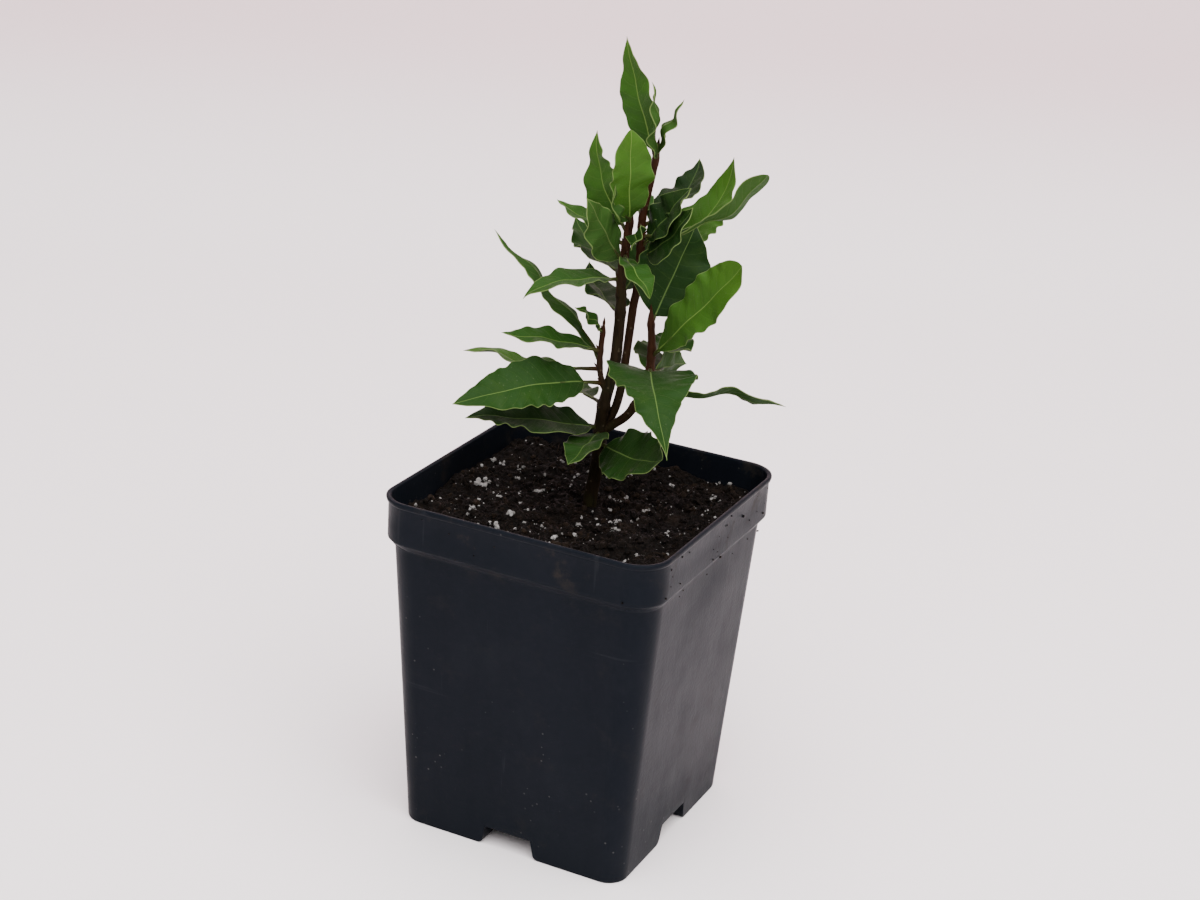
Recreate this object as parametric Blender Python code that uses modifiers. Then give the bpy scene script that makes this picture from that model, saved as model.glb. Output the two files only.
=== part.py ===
"""Young bay laurel in a square black nursery pot.

Metres, Z up, origin at the middle of the pot's underside. The large face of the pot
seen in the picture looks toward -Y and the narrow one toward +X.
Lengths below are written in millimetres and multiplied by MM where a mesh is made.
"""
import math

import bmesh
import bpy
import numpy as np
from mathutils import Vector

MM = 0.001

# pot, from the outside
POT_HEIGHT = 119.0
POT_TOP_HALF = 50.0
POT_BAND_HALF = 49.4
POT_BODY_TOP_HALF = 47.5
POT_BOTTOM_HALF = 41.1
BAND_BOTTOM = 104.6
STEP_BOTTOM = 102.1
LIP_BOTTOM = 117.3
CORNER_RADIUS_BOTTOM = 7.0
CORNER_RADIUS_TOP = 11.4
WALL = 1.2
CHANNEL_HALF = 10.5
CHANNEL_TOP_HALF = 8.6
CHANNEL_HEIGHT = 7.0
DRAIN_RADIUS = 3.5
DRAIN_OFFSET = 29.0

# soil and the hole the trunk stands in
FIT_GAP = 0.3
SOIL_LEVEL = 110.0
SOIL_RELIEF = 1.1
TRUNK_X = 1.4
TRUNK_Y = 2.2
TRUNK_FOOT = 86.0
TRUNK_HOLE_RADIUS = 2.85

# leaf blades
BLADE = 0.65
STALK_HALF = 0.7
TIP_HALF = 0.28
ROWS = 11
ROWS_SMALL = 7
COLUMNS = 4
WAVES = 3
PHASE_STEP = 0.37
SMALL_LEAF = 22.0

# points of each stem: x, y, z and radius
STEMS = {
    "main": [(1.4, 2.2, 86, 2.3), (1.4, 2.2, 98, 2.35), (1.4, 2.2, 108, 2.4), (2.0, 2.3, 116, 2.35),
             (3.0, 2.9, 126, 2.3), (3.6, 3.0, 143, 2.15), (5.0, 3.7, 153, 1.95), (6.4, 4.4, 163, 1.9),
             (6.9, 4.6, 180, 1.75), (6.4, 4.4, 189, 1.55), (7.3, 4.8, 202, 1.3), (7.8, 5.1, 208, 1.15),
             (8.0, 5.2, 212, 0.5)],
    "tall": [(4.2, 3.6, 137, 1.5), (7.2, 6.9, 148, 1.45), (8.8, 7.8, 167, 1.4), (9.5, 8.3, 179, 1.4),
             (10.4, 8.8, 187.5, 1.4), (10.5, 9.0, 195, 1.35), (10.2, 8.8, 207, 1.25), (11.0, 8.9, 214, 1.2),
             (12.4, 9.4, 222.6, 1.1), (13.2, 9.6, 229.5, 1.05), (13.5, 9.7, 233, 0.45)],
    "right": [(3.8, 3.0, 137, 1.5), (7.5, 3.6, 140, 1.5), (12.3, 3.6, 144.5, 1.5), (15.9, 4.2, 151, 1.45),
              (18.0, 5.0, 157.5, 1.45), (18.4, 5.4, 163.5, 1.4), (18.1, 5.6, 170, 1.3), (17.4, 5.4, 177, 1.15),
              (17.2, 5.3, 180.5, 0.5)],
    "left": [(4.8, 3.4, 150, 1.0), (3.4, 2.0, 154, 1.0), (2.4, 1.4, 159, 0.95), (2.3, 1.4, 165, 0.95),
             (2.5, 1.8, 171, 0.9), (2.6, 1.9, 174, 0.4)],
}

# each leaf: stem, height of its joint, reach from joint to tip, bow of the midrib,
# where the upper face looks (compass and rise in degrees), width, stalk, tip and base shape
LEAVES = {
    "a1": ("main", 207, (2, -7, 32), (1, -3, 1), (325, -6), 15, 3, 0.7, 0.7),
    "a2": ("main", 204, (-17, 8, 29), (-3, 0, -1), (250, 10), 15, 4, 1.2, 0.55),
    "a3": ("main", 194, (-2, -23, 26), (0, -2, 1), (168, 6), 14, 4, 1.1, 0.75),
    "a4": ("main", 189, (-22, -26, -3), (0, -3, 3), (265, 75), 12, 4, 1.1, 0.75),
    "a5": ("main", 200, (-25, -1, 10), (-1, 0, 1), (355, 68), 12, 4, 1.1, 0.75),
    "a6": ("main", 191, (-26, 17, 10), (-3, 2, -2), (348, 70), 15, 4, 1.1, 0.75),
    "a7": ("main", 208, (-1, -12, 14), (0, -1, -1), (189, -14), 7, 2, 1.1, 0.75),
    "a8": ("main", 178, (-22, 18, 8), (-3, 3, -2), (11, 66), 15, 4, 1.1, 0.75),
    "a9": ("main", 197, (17, -14, -7), (1, -4, 2), (345, 62), 11, 4, 0.8, 0.75),
    "e1": ("main", 133, (31, -18, 7), (2, -1, -2), (228, 48), 20, 4, 0.8, 0.65),
    "e2": ("main", 137, (2, -26, -3), (1, -1, 2), (250, 66), 14, 4, 1.0, 0.7),
    "e3": ("main", 138, (-32, -33, 8), (2, -1, 1), (344, 69), 17, 4, 1.0, 0.65),
    "g2": ("main", 184, (-5, 28, 12), (0, 2, -2), (300, 60), 14, 4, 1.1, 0.75),
    "g3": ("main", 146, (-27, 15, -5), (0, 1, 2), (100, 80), 14, 8, 1.1, 0.75),
    "b1": ("tall", 228, (-14, 2, 36), (-1, 1, 0), (258, -3), 13, 3, 1.3, 0.9),
    "b2": ("tall", 227, (2, -8, 27), (1, -2, 2), (195, 0), 8, 2, 1.1, 0.75),
    "b3": ("tall", 228, (10, -2, 20), (-1, -1, 2), (34, -21), 8, 2, 1.1, 0.75),
    "b4": ("tall", 203, (4, -14, -1), (1, -3, 3), (200, 49), 7, 3, 1.1, 0.75),
    "b5": ("tall", 206, (4, 33, 16), (3, 4, 0), (234, 60), 15, 4, 1.1, 0.75),
    "b6": ("tall", 199, (14, 2, 22), (2, -1, 2), (233, 24), 15, 4, 1.0, 0.75),
    "b7": ("tall", 192, (15, 38, 31), (1, 7, -6), (249, 53), 19, 4, 1.1, 0.7),
    "b8": ("tall", 203, (38, 5, 26), (5, -1, -4), (148, 36), 13, 4, 0.6, 2.0),
    "b9": ("tall", 196, (18, -3, 20), (2, -2, -1), (226, 19), 15, 4, 1.1, 0.75),
    "g1": ("tall", 209, (-19, 22, 10), (0, 2, -2), (320, 60), 12, 4, 1.1, 0.75),
    "c1": ("right", 176, (7, 14, 31), (0, 1, 1), (300, 8), 20, 3, 1.1, 0.75),
    "c2": ("right", 165, (31, -4, 37), (0, -1, 0), (242, 20), 18, 4, 0.55, 0.75),
    "c3": ("right", 168, (-2, 28, -1), (1, 1, -3), (43, 80), 15, 4, 1.1, 0.75),
    "c4": ("right", 161, (23, -33, -15), (1, -6, 7), (305, 62), 29, 5, 1.5, 0.35),
    "c5": ("right", 158, (-14, 29, 2), (1, 0, 2), (207, -61), 12, 4, 1.1, 0.75),
    "c6": ("right", 160, (-2, 31, -6), (1, -2, 1), (182, 14), 13, 4, 1.1, 0.75),
    "c7": ("right", 148, (35, 45, -7), (0, -2, 5), (115, 54), 9, 6, 1.1, 0.75),
    "d1": ("left", 154, (-33, -39, -3), (3, -1, 4), (316, 51), 18, 8, 1.0, 0.6),
    "d2": ("left", 159, (-49, -2, -2), (2, 1, -2), (111, 82), 9, 10, 0.7, 0.9),
    "d3": ("left", 165, (-23, -25, 7), (-1, -2, 2), (0, 70), 11, 4, 1.0, 0.75),
    "d4": ("left", 161, (-38, -6, 38), (4, 3, -2), (193, -45), 10, 4, 1.1, 0.75),
    "d5": ("left", 171, (-6, -9, 10), (1, -1, 1), (11, 37), 6, 2, 1.1, 0.75),
}
FOLD = 12.0
WAVE_BASE = 0.35
WAVE_SHARE = 0.025


# helpers

def clear_scene():
    for item in list(bpy.data.objects):
        bpy.data.objects.remove(item, do_unlink=True)


def collection(name):
    group = bpy.data.collections.new(name)
    bpy.context.scene.collection.children.link(group)
    return group


def material(name, colour, roughness):
    mat = bpy.data.materials.new(name)
    mat.use_nodes = True
    shader = mat.node_tree.nodes["Principled BSDF"]
    shader.inputs["Base Color"].default_value = (*colour, 1.0)
    shader.inputs["Roughness"].default_value = roughness
    shader.inputs["Metallic"].default_value = 0.0
    return mat


def object_from_bmesh(name, bm, group):
    bmesh.ops.recalc_face_normals(bm, faces=bm.faces)
    mesh = bpy.data.meshes.new(name)
    bm.to_mesh(mesh)
    bm.free()
    item = bpy.data.objects.new(name, mesh)
    group.objects.link(item)
    return item


def as_cutter(item):
    item.hide_render = True
    item.display_type = "WIRE"
    return item


def apply_modifiers(item):
    """Replace the mesh by the one its modifiers make."""
    graph = bpy.context.evaluated_depsgraph_get()
    mesh = bpy.data.meshes.new_from_object(item.evaluated_get(graph))
    old = item.data
    item.modifiers.clear()
    item.data = mesh
    bpy.data.meshes.remove(old)
    bm = bmesh.new()
    bm.from_mesh(item.data)
    bmesh.ops.remove_doubles(bm, verts=bm.verts, dist=0.00001)
    bm.to_mesh(item.data)
    bm.free()


def boolean(item, other, operation, solver="EXACT"):
    """Add one Boolean with an object or with a whole collection and apply it."""
    mod = item.modifiers.new(operation.title(), "BOOLEAN")
    mod.operation = operation
    mod.solver = solver
    if isinstance(other, bpy.types.Collection):
        mod.operand_type = "COLLECTION"
        mod.collection = other
    else:
        mod.object = other
    apply_modifiers(item)


def remove(item):
    mesh = item.data
    bpy.data.objects.remove(item, do_unlink=True)
    bpy.data.meshes.remove(mesh)


# pot and soil

def ring(half, radius, corner_steps=4, side_steps=1):
    """Points of a rounded square in the XY plane, counter-clockwise."""
    points = []
    straight = half - radius
    for quarter in range(4):
        turn = math.radians(90 * quarter)
        for step in range(corner_steps + 1):
            angle = math.radians(90 * step / corner_steps)
            x = straight + radius * math.cos(angle)
            y = straight + radius * math.sin(angle)
            points.append((x * math.cos(turn) - y * math.sin(turn), x * math.sin(turn) + y * math.cos(turn)))
        for step in range(1, side_steps):
            x = straight - 2 * straight * step / side_steps
            points.append((x * math.cos(turn) - half * math.sin(turn), x * math.sin(turn) + half * math.cos(turn)))
    return points


def loft(name, rings, group, top_rise=None):
    """Join rings of equal point count, each with its height or a height for every point."""
    bm = bmesh.new()
    rows = []
    for points, z in rings:
        heights = [z] * len(points) if isinstance(z, (int, float)) else z
        rows.append([bm.verts.new((x * MM, y * MM, h * MM)) for (x, y), h in zip(points, heights)])
    for low, high in zip(rows, rows[1:]):
        for i in range(len(low)):
            j = (i + 1) % len(low)
            bm.faces.new((low[i], low[j], high[j], high[i]))
    bm.faces.new(list(reversed(rows[0])))
    if top_rise is None:
        bm.faces.new(rows[-1])
    else:
        centre = bm.verts.new((0, 0, top_rise * MM))
        for i in range(len(rows[-1])):
            bm.faces.new((rows[-1][i], rows[-1][(i + 1) % len(rows[-1])], centre))
    return object_from_bmesh(name, bm, group)


def corner_radius(z, inset):
    share = z / POT_HEIGHT
    return CORNER_RADIUS_BOTTOM + (CORNER_RADIUS_TOP - CORNER_RADIUS_BOTTOM) * share - inset


def body_half(z, inset):
    share = min(z / STEP_BOTTOM, 1.0)
    return POT_BOTTOM_HALF + (POT_BODY_TOP_HALF - POT_BOTTOM_HALF) * share - inset


def channels(name, inset, group):
    """Two crossing bars with sloped sides that leave the four corner feet."""
    bars = []
    for turned in (False, True):
        bm = bmesh.new()
        low = CHANNEL_HALF + inset
        high = CHANNEL_TOP_HALF + inset
        top = CHANNEL_HEIGHT + inset
        rows = []
        for end in (-60.0, 60.0):
            section = [(-low - 0.55, -2.0), (low + 0.55, -2.0), (high + 0.7, top * 0.72), (high - 0.6, top * 0.93),
                       (high - 2.2, top), (-high + 2.2, top), (-high + 0.6, top * 0.93), (-high - 0.7, top * 0.72)]
            if turned:
                rows.append([bm.verts.new((end * MM, a * MM, b * MM)) for a, b in section])
            else:
                rows.append([bm.verts.new((a * MM, end * MM, b * MM)) for a, b in section])
        count = len(rows[0])
        for i in range(count):
            j = (i + 1) % count
            bm.faces.new((rows[0][i], rows[0][j], rows[1][j], rows[1][i]))
        bm.faces.new(rows[0])
        bm.faces.new(list(reversed(rows[1])))
        bars.append(as_cutter(object_from_bmesh(name + ("_x" if turned else "_y"), bm, group)))
    return bars


def cylinder(name, radius, low, high, x, y, group, sides=20):
    bm = bmesh.new()
    bmesh.ops.create_cone(bm, cap_ends=True, segments=sides, radius1=radius * MM, radius2=radius * MM,
                          depth=(high - low) * MM)
    bmesh.ops.translate(bm, verts=bm.verts, vec=Vector((x, y, (low + high) / 2)) * MM)
    return as_cutter(object_from_bmesh(name, bm, group))


def cut_channels(item, inset, group):
    for bar in channels(item.name + "_channel", inset, group):
        boolean(item, bar, "DIFFERENCE")


def make_pot(parts, cutters):
    outer = []
    for z, half in ((0.0, body_half(0, 0) - 0.5), (0.6, body_half(0.6, 0)), (STEP_BOTTOM, POT_BODY_TOP_HALF),
                    (BAND_BOTTOM, POT_BAND_HALF - 0.1), (LIP_BOTTOM, POT_BAND_HALF + 0.1),
                    (LIP_BOTTOM + 0.3, POT_TOP_HALF), (POT_HEIGHT - 0.3, POT_TOP_HALF),
                    (POT_HEIGHT, POT_TOP_HALF - 0.3)):
        outer.append((ring(half, corner_radius(z, 0)), z))
    pot = loft("pot", outer, parts)
    cut_channels(pot, 0.0, cutters)
    inner = []
    for z, half in ((WALL, body_half(WALL, WALL)), (STEP_BOTTOM, POT_BODY_TOP_HALF - WALL),
                    (BAND_BOTTOM, POT_BAND_HALF - 0.1 - WALL), (POT_HEIGHT + 4.0, POT_BAND_HALF + 0.15 - WALL)):
        inner.append((ring(half, corner_radius(min(z, POT_HEIGHT), WALL)), z))
    hollow = as_cutter(loft("pot_hollow", inner, cutters))
    cut_channels(hollow, WALL, cutters)
    boolean(pot, hollow, "DIFFERENCE")
    for number, (x, y) in enumerate(((0, 0), (1, 0), (-1, 0), (0, 1), (0, -1))):
        drain = cylinder(f"drain_{number}", DRAIN_RADIUS, 3.0, CHANNEL_HEIGHT + WALL + 1.0,
                         x * DRAIN_OFFSET, y * DRAIN_OFFSET, cutters)
        boolean(pot, drain, "DIFFERENCE")
    return pot


def soil_height(x, y):
    """Low waves and a slight fall toward the walls, flat around the trunk."""
    waves = math.sin(x * 0.13 + 1.1) * math.cos(y * 0.17 - 0.4) + 0.6 * math.sin(x * 0.31 - y * 0.23 + 2.0)
    near = 1.0 - math.exp(-((x - TRUNK_X) ** 2 + (y - TRUNK_Y) ** 2) / 60.0)
    return SOIL_LEVEL + SOIL_RELIEF * waves * near


def make_soil(parts, cutters):
    inset = WALL + FIT_GAP
    rows = []
    for z, half in ((inset, body_half(inset, inset)), (STEP_BOTTOM, POT_BODY_TOP_HALF - inset),
                    (BAND_BOTTOM, POT_BAND_HALF - 0.1 - inset)):
        rows.append((ring(half, corner_radius(z, inset), 4, 7), z))
    edge = POT_BAND_HALF - 0.1 - inset
    for share in (1.0, 0.93, 0.82, 0.71, 0.6, 0.49, 0.38, 0.27, 0.17, 0.09):
        points = ring(edge * share, corner_radius(SOIL_LEVEL, inset) * share, 4, 7)
        rows.append((points, [soil_height(x, y) for x, y in points]))
    soil = loft("soil", rows, parts, soil_height(0.0, 0.0))
    cut_channels(soil, inset, cutters)
    hole = cylinder("trunk_hole", TRUNK_HOLE_RADIUS, TRUNK_FOOT - FIT_GAP, SOIL_LEVEL + 8.0, TRUNK_X, TRUNK_Y, cutters)
    boolean(soil, hole, "DIFFERENCE")
    return soil


# stems and leaves

def smooth_path(points, steps):
    """Catmull-Rom curve through the points; the radius rides along as a fourth number."""
    p = np.array(points, float)
    p = np.vstack([2 * p[0] - p[1], p, 2 * p[-1] - p[-2]])
    t = np.linspace(0, 1, steps, endpoint=False)[:, None]
    spans = []
    for i in range(len(p) - 3):
        a, b, c, d = p[i:i + 4]
        spans.append(0.5 * (2 * b + (c - a) * t + (2 * a - 5 * b + 4 * c - d) * t ** 2
                            + (3 * b - a - 3 * c + d) * t ** 3))
    return np.vstack(spans + [p[-2:-1]])


def tube(name, points, group, grow=0.0):
    """A round tube along a stem, thicker by grow, with its ends closed."""
    path = smooth_path(points, 3)
    curve = bpy.data.curves.new(name, "CURVE")
    curve.dimensions = "3D"
    curve.bevel_depth = 1.0 * MM
    curve.bevel_resolution = 3
    curve.use_fill_caps = True
    spline = curve.splines.new("POLY")
    spline.points.add(len(path) - 1)
    for point, (x, y, z, radius) in zip(spline.points, path):
        point.co = (x * MM, y * MM, z * MM, 1.0)
        point.radius = radius + grow
    holder = bpy.data.objects.new(name + "_curve", curve)
    group.objects.link(holder)
    graph = bpy.context.evaluated_depsgraph_get()
    mesh = bpy.data.meshes.new_from_object(holder.evaluated_get(graph))
    mesh.transform(holder.matrix_world)
    mesh.name = name
    bpy.data.objects.remove(holder, do_unlink=True)
    bpy.data.curves.remove(curve)
    bm = bmesh.new()
    bm.from_mesh(mesh)
    bmesh.ops.remove_doubles(bm, verts=bm.verts, dist=0.00001)
    bmesh.ops.recalc_face_normals(bm, faces=bm.faces)
    bm.to_mesh(mesh)
    bm.free()
    item = bpy.data.objects.new(name, mesh)
    group.objects.link(item)
    return item


def joint_on(stem, height):
    path = smooth_path(STEMS[stem], 40)
    return path[np.argmin(np.abs(path[:, 2] - height)), :3]


def outline(k, tip, base):
    """Half width of a blade along its midrib, 1 at the widest place."""
    peak = base / (base + tip)
    return k ** base * (1 - k) ** tip / (peak ** base * (1 - peak) ** tip)


def leaf_points(spec, phase, along, across):
    """Place grid points on a leaf: along runs 0 to 1 from joint to tip, across -1 to 1."""
    stem, height, reach, bow, face, width, stalk, tip, base = spec
    start = joint_on(stem, height)
    end = start + np.array(reach, float)
    bend = (start + end) / 2 + 2 * np.array(bow, float)
    t = np.linspace(0, 1, 401)[:, None]
    rib = (1 - t) ** 2 * start + 2 * t * (1 - t) * bend + t * t * end
    length = np.concatenate([[0], np.cumsum(np.linalg.norm(np.diff(rib, axis=0), axis=1))])
    total = length[-1]
    k = np.clip((along * total - stalk) / (total - stalk), 0, 1)
    t = np.interp(along * total, length, np.linspace(0, 1, 401))[:, None]
    centre = (1 - t) ** 2 * start + 2 * t * (1 - t) * bend + t * t * end
    ahead = 2 * (1 - t) * (bend - start) + 2 * t * (end - bend)
    ahead /= np.linalg.norm(ahead, axis=1, keepdims=True)
    compass, rise = np.radians(face)
    up = np.array([np.cos(rise) * np.cos(compass), np.cos(rise) * np.sin(compass), np.sin(rise)])
    normal = up - ahead * (ahead @ up)[:, None]
    normal /= np.linalg.norm(normal, axis=1, keepdims=True)
    side = np.cross(normal, ahead)
    half = np.maximum(outline(k, tip, base) * width / 2, STALK_HALF * (1 - k) + TIP_HALF * k)
    fold = math.radians(FOLD)
    grow = np.minimum(half / (width / 2) * 2, 1)
    wave = ((WAVE_BASE + WAVE_SHARE * width) * grow * np.abs(across) ** 1.5 * np.sqrt(np.sin(np.pi * k))
            * np.sin(2 * np.pi * (WAVES * k + phase + 0.27 * np.sign(across))))
    out = half * across * math.cos(fold)
    lift = half * np.abs(across) * math.sin(fold) + wave
    return centre + out[:, None] * side + lift[:, None] * normal, total


def make_leaf(name, spec, phase, group):
    """One blade with its stalk: a grid laid on the leaf's form, split and thickened."""
    total = leaf_points(spec, phase, np.array([0.0]), np.array([0.0]))[1]
    rows = (ROWS_SMALL if total < SMALL_LEAF else ROWS) + 2
    bm = bmesh.new()
    bmesh.ops.create_grid(bm, x_segments=rows, y_segments=COLUMNS, size=1.0)
    flat = np.array([v.co[:] for v in bm.verts])
    row = (flat[:, 0] + 1) / 2 * rows
    stalk = spec[6] / total
    marks = np.concatenate([[0, 0.55 * stalk], stalk + (1 - stalk) * np.linspace(0, 1, rows - 1)])
    along = np.interp(row, np.arange(rows + 1), marks)
    placed, _ = leaf_points(spec, phase, along, flat[:, 1])
    for vert, point in zip(bm.verts, placed):
        vert.co = Vector(point) * MM
    item = object_from_bmesh(name, bm, group)
    item.modifiers.new("Split", "TRIANGULATE")
    thick = item.modifiers.new("Thickness", "SOLIDIFY")
    thick.thickness = BLADE * MM
    thick.offset = 0.0
    apply_modifiers(item)
    return item


def make_leafy_stem(name, stem, others, parts):
    """A stem with its leaves fused on, trimmed by enlarged copies of the stems it leans on."""
    item = tube(name, STEMS[stem], parts)
    for other in others:
        saddle = tube("saddle", STEMS[other], parts, FIT_GAP + 0.1)
        boolean(item, saddle, "DIFFERENCE")
        remove(saddle)
    group = collection("blades_" + stem)
    for number, (leaf, spec) in enumerate(LEAVES.items()):
        if spec[0] == stem:
            make_leaf(leaf, spec, PHASE_STEP * number, group)
    boolean(item, group, "UNION", "MANIFOLD")
    for leaf in list(group.objects):
        remove(leaf)
    bpy.data.collections.remove(group)
    return item


def paint(item, mat):
    item.data.materials.clear()
    item.data.materials.append(mat)


def main():
    clear_scene()
    parts = collection("bay_laurel_in_pot")
    cutters = collection("cutters")
    pot = make_pot(parts, cutters)
    soil = make_soil(parts, cutters)
    main_stem = make_leafy_stem("main_stem", "main", (), parts)
    tall_stem = make_leafy_stem("tall_stem", "tall", ("main",), parts)
    right_stem = make_leafy_stem("right_stem", "right", ("main", "tall"), parts)
    left_shoot = make_leafy_stem("left_shoot", "left", ("main",), parts)
    paint(pot, material("black_plastic", (0.02, 0.022, 0.026), 0.45))
    paint(soil, material("peat", (0.02, 0.014, 0.01), 0.95))
    paint(main_stem, material("main_green", (0.07, 0.17, 0.035), 0.45))
    paint(tall_stem, material("tall_green", (0.05, 0.14, 0.04), 0.45))
    paint(right_stem, material("right_green", (0.045, 0.13, 0.03), 0.45))
    paint(left_shoot, material("left_green", (0.06, 0.15, 0.035), 0.45))
    for item in list(cutters.objects):
        as_cutter(item)


main()
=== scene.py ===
# %% [markdown]
# # A young bay laurel in a nursery pot
# This lesson dresses a packed model of a small potted tree. The packed parts are plain solids.
# Here each one gets a finer twin that keeps its place and form: leaves with waved margins and
# veins, brown stems with buds, crumbly peat with white grains, and a thin black plastic pot.
# Lengths are written in millimetres, and MM turns them into Blender's metres.

# %% Load the packed model
import math

import bmesh
import bpy
import numpy as np
from mathutils import Matrix, Vector


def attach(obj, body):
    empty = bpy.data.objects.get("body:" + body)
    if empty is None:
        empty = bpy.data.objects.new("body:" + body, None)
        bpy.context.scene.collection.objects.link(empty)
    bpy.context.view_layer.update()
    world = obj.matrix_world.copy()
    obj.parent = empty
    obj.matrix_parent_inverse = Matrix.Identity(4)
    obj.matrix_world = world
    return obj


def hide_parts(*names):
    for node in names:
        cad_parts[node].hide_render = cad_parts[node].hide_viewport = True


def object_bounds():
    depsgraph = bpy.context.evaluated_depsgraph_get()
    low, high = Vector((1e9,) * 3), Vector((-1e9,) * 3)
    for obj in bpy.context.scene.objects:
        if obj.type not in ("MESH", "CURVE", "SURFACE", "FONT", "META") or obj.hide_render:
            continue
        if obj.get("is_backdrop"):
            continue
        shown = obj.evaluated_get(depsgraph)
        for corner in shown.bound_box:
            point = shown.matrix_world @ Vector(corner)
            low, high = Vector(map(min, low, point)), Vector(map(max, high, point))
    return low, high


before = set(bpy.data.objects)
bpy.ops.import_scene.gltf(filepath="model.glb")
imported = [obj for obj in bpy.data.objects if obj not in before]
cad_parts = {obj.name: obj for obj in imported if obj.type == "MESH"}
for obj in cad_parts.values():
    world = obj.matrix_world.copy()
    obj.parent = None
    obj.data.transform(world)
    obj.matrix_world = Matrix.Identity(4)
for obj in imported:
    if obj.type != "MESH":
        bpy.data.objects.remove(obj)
cad_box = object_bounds()
MM = 0.001
print("nodes:", sorted(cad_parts))

# %% [markdown]
# ## Grids of points
# Every piece below is a grid of points, worked out with numpy as whole arrays because that is
# quick and keeps the formula in sight. Four neighbours make a face, and a grid can be wrapped
# into a tube. Another helper stacks several grids, so that all leaves of a stem share one mesh.

# %% Faces and stacks
def grid_faces(rows, columns, wrap=False):
    """Quads of a grid whose point (i, j) has the number i * columns + j.

    With wrap, the last column is joined to the first.
    """
    last = columns if wrap else columns - 1
    i, j = np.meshgrid(np.arange(rows - 1), np.arange(last), indexing="ij")
    here = i * columns + j
    beside = i * columns + (j + 1) % columns
    quads = np.stack([here, beside, beside + columns, here + columns], -1)
    return quads.reshape(-1, 4)


def join_parts(parts):
    """Stack several (points, faces, values) into one, with the face numbers shifted."""
    points = []
    faces = []
    values = {}
    start = 0
    for one_points, one_faces, one_values in parts:
        one_points = one_points.reshape(-1, 3)
        points.append(one_points)
        faces.append(one_faces + start)
        for key, value in one_values.items():
            values.setdefault(key, []).append(np.broadcast_to(np.ravel(value), len(one_points)))
        start += len(one_points)
    values = {key: np.concatenate(value) for key, value in values.items()}
    return np.vstack(points), np.vstack(faces), values


def unit(vectors):
    """Vectors made one long: v / |v|."""
    return vectors / np.linalg.norm(vectors, axis=-1, keepdims=True)


print("a grid of 3 by 3 points has", len(grid_faces(3, 3)), "faces")

# %% [markdown]
# ## From arrays to a mesh
# Blender takes whole arrays at once, far faster than single points. Named values (attributes) go
# in with them. They tell a material how far along or across a surface it is, so a pattern can
# follow the form. Tubes and leaves are open at their ends, which a real one is not, so a face
# closes each end.

# %% Mesh helpers
def close_ends(mesh):
    """Put a face over every open ring and turn all faces outwards."""
    form = bmesh.new()
    form.from_mesh(mesh)
    open_edges = [edge for edge in form.edges if edge.is_boundary]
    bmesh.ops.holes_fill(form, edges=open_edges, sides=0)
    bmesh.ops.recalc_face_normals(form, faces=form.faces)
    form.to_mesh(mesh)
    form.free()


def put_in_scene(name, data):
    """Make an object of a mesh, light or camera and link it to the scene."""
    item = bpy.data.objects.new(name, data)
    bpy.context.scene.collection.objects.link(item)
    return item


def make_mesh(name, points, faces, values=None, smooth=True, closed=False):
    """Turn points in millimetres, faces and named values per point into an object."""
    mesh = bpy.data.meshes.new(name)
    points = np.asarray(points, float).reshape(-1, 3) * MM
    corners = faces.shape[1]
    mesh.vertices.add(len(points))
    mesh.vertices.foreach_set("co", points.ravel())
    mesh.loops.add(faces.size)
    mesh.loops.foreach_set("vertex_index", faces.astype(np.int32).ravel())
    mesh.polygons.add(len(faces))
    mesh.polygons.foreach_set("loop_start", np.arange(0, faces.size, corners, dtype=np.int32))
    mesh.polygons.foreach_set("loop_total", np.full(len(faces), corners, dtype=np.int32))
    mesh.update(calc_edges=True)
    for key, value in (values or {}).items():
        layer = mesh.attributes.new(key, "FLOAT", "POINT")
        layer.data.foreach_set("value", np.asarray(value, np.float32).ravel())
    if closed:
        close_ends(mesh)
    mesh.polygons.foreach_set("use_smooth", np.full(len(mesh.polygons), smooth))
    mesh.validate()
    print(name, "has", len(mesh.polygons), "faces")
    return put_in_scene(name, mesh)


def make_sheet(name, x, y, z, values=None, wrap=False, turned=False):
    """Object of one grid given as three arrays; turned faces look the other way."""
    faces = grid_faces(*x.shape, wrap)
    faces = faces[:, ::-1] if turned else faces
    return make_mesh(name, np.stack([x, y, z], -1), faces, values)


# %% [markdown]
# ## Small words for materials
# A material is a chain of nodes. It could be wired by hand, but forty nodes are easier to read
# as text. The shader itself gets plain numbers on its own sockets.

# %% Node helpers
def feed(tree, socket, value):
    """Link a node's output to a socket, or write a number, position or colour on it."""
    if isinstance(value, bpy.types.NodeSocket):
        tree.links.new(value, socket)
    elif isinstance(value, tuple) and socket.type == "RGBA":
        socket.default_value = (*value, 1.0)
    else:
        socket.default_value = value


def add_node(tree, kind, inputs, output=0, **settings):
    """Add a node with its settings, feed its inputs and hand back one of its outputs."""
    item = tree.nodes.new(kind)
    for key, value in settings.items():
        setattr(item, key, value)
    for key, value in inputs.items():
        feed(tree, item.inputs[key], value)
    return item.outputs[output]


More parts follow.
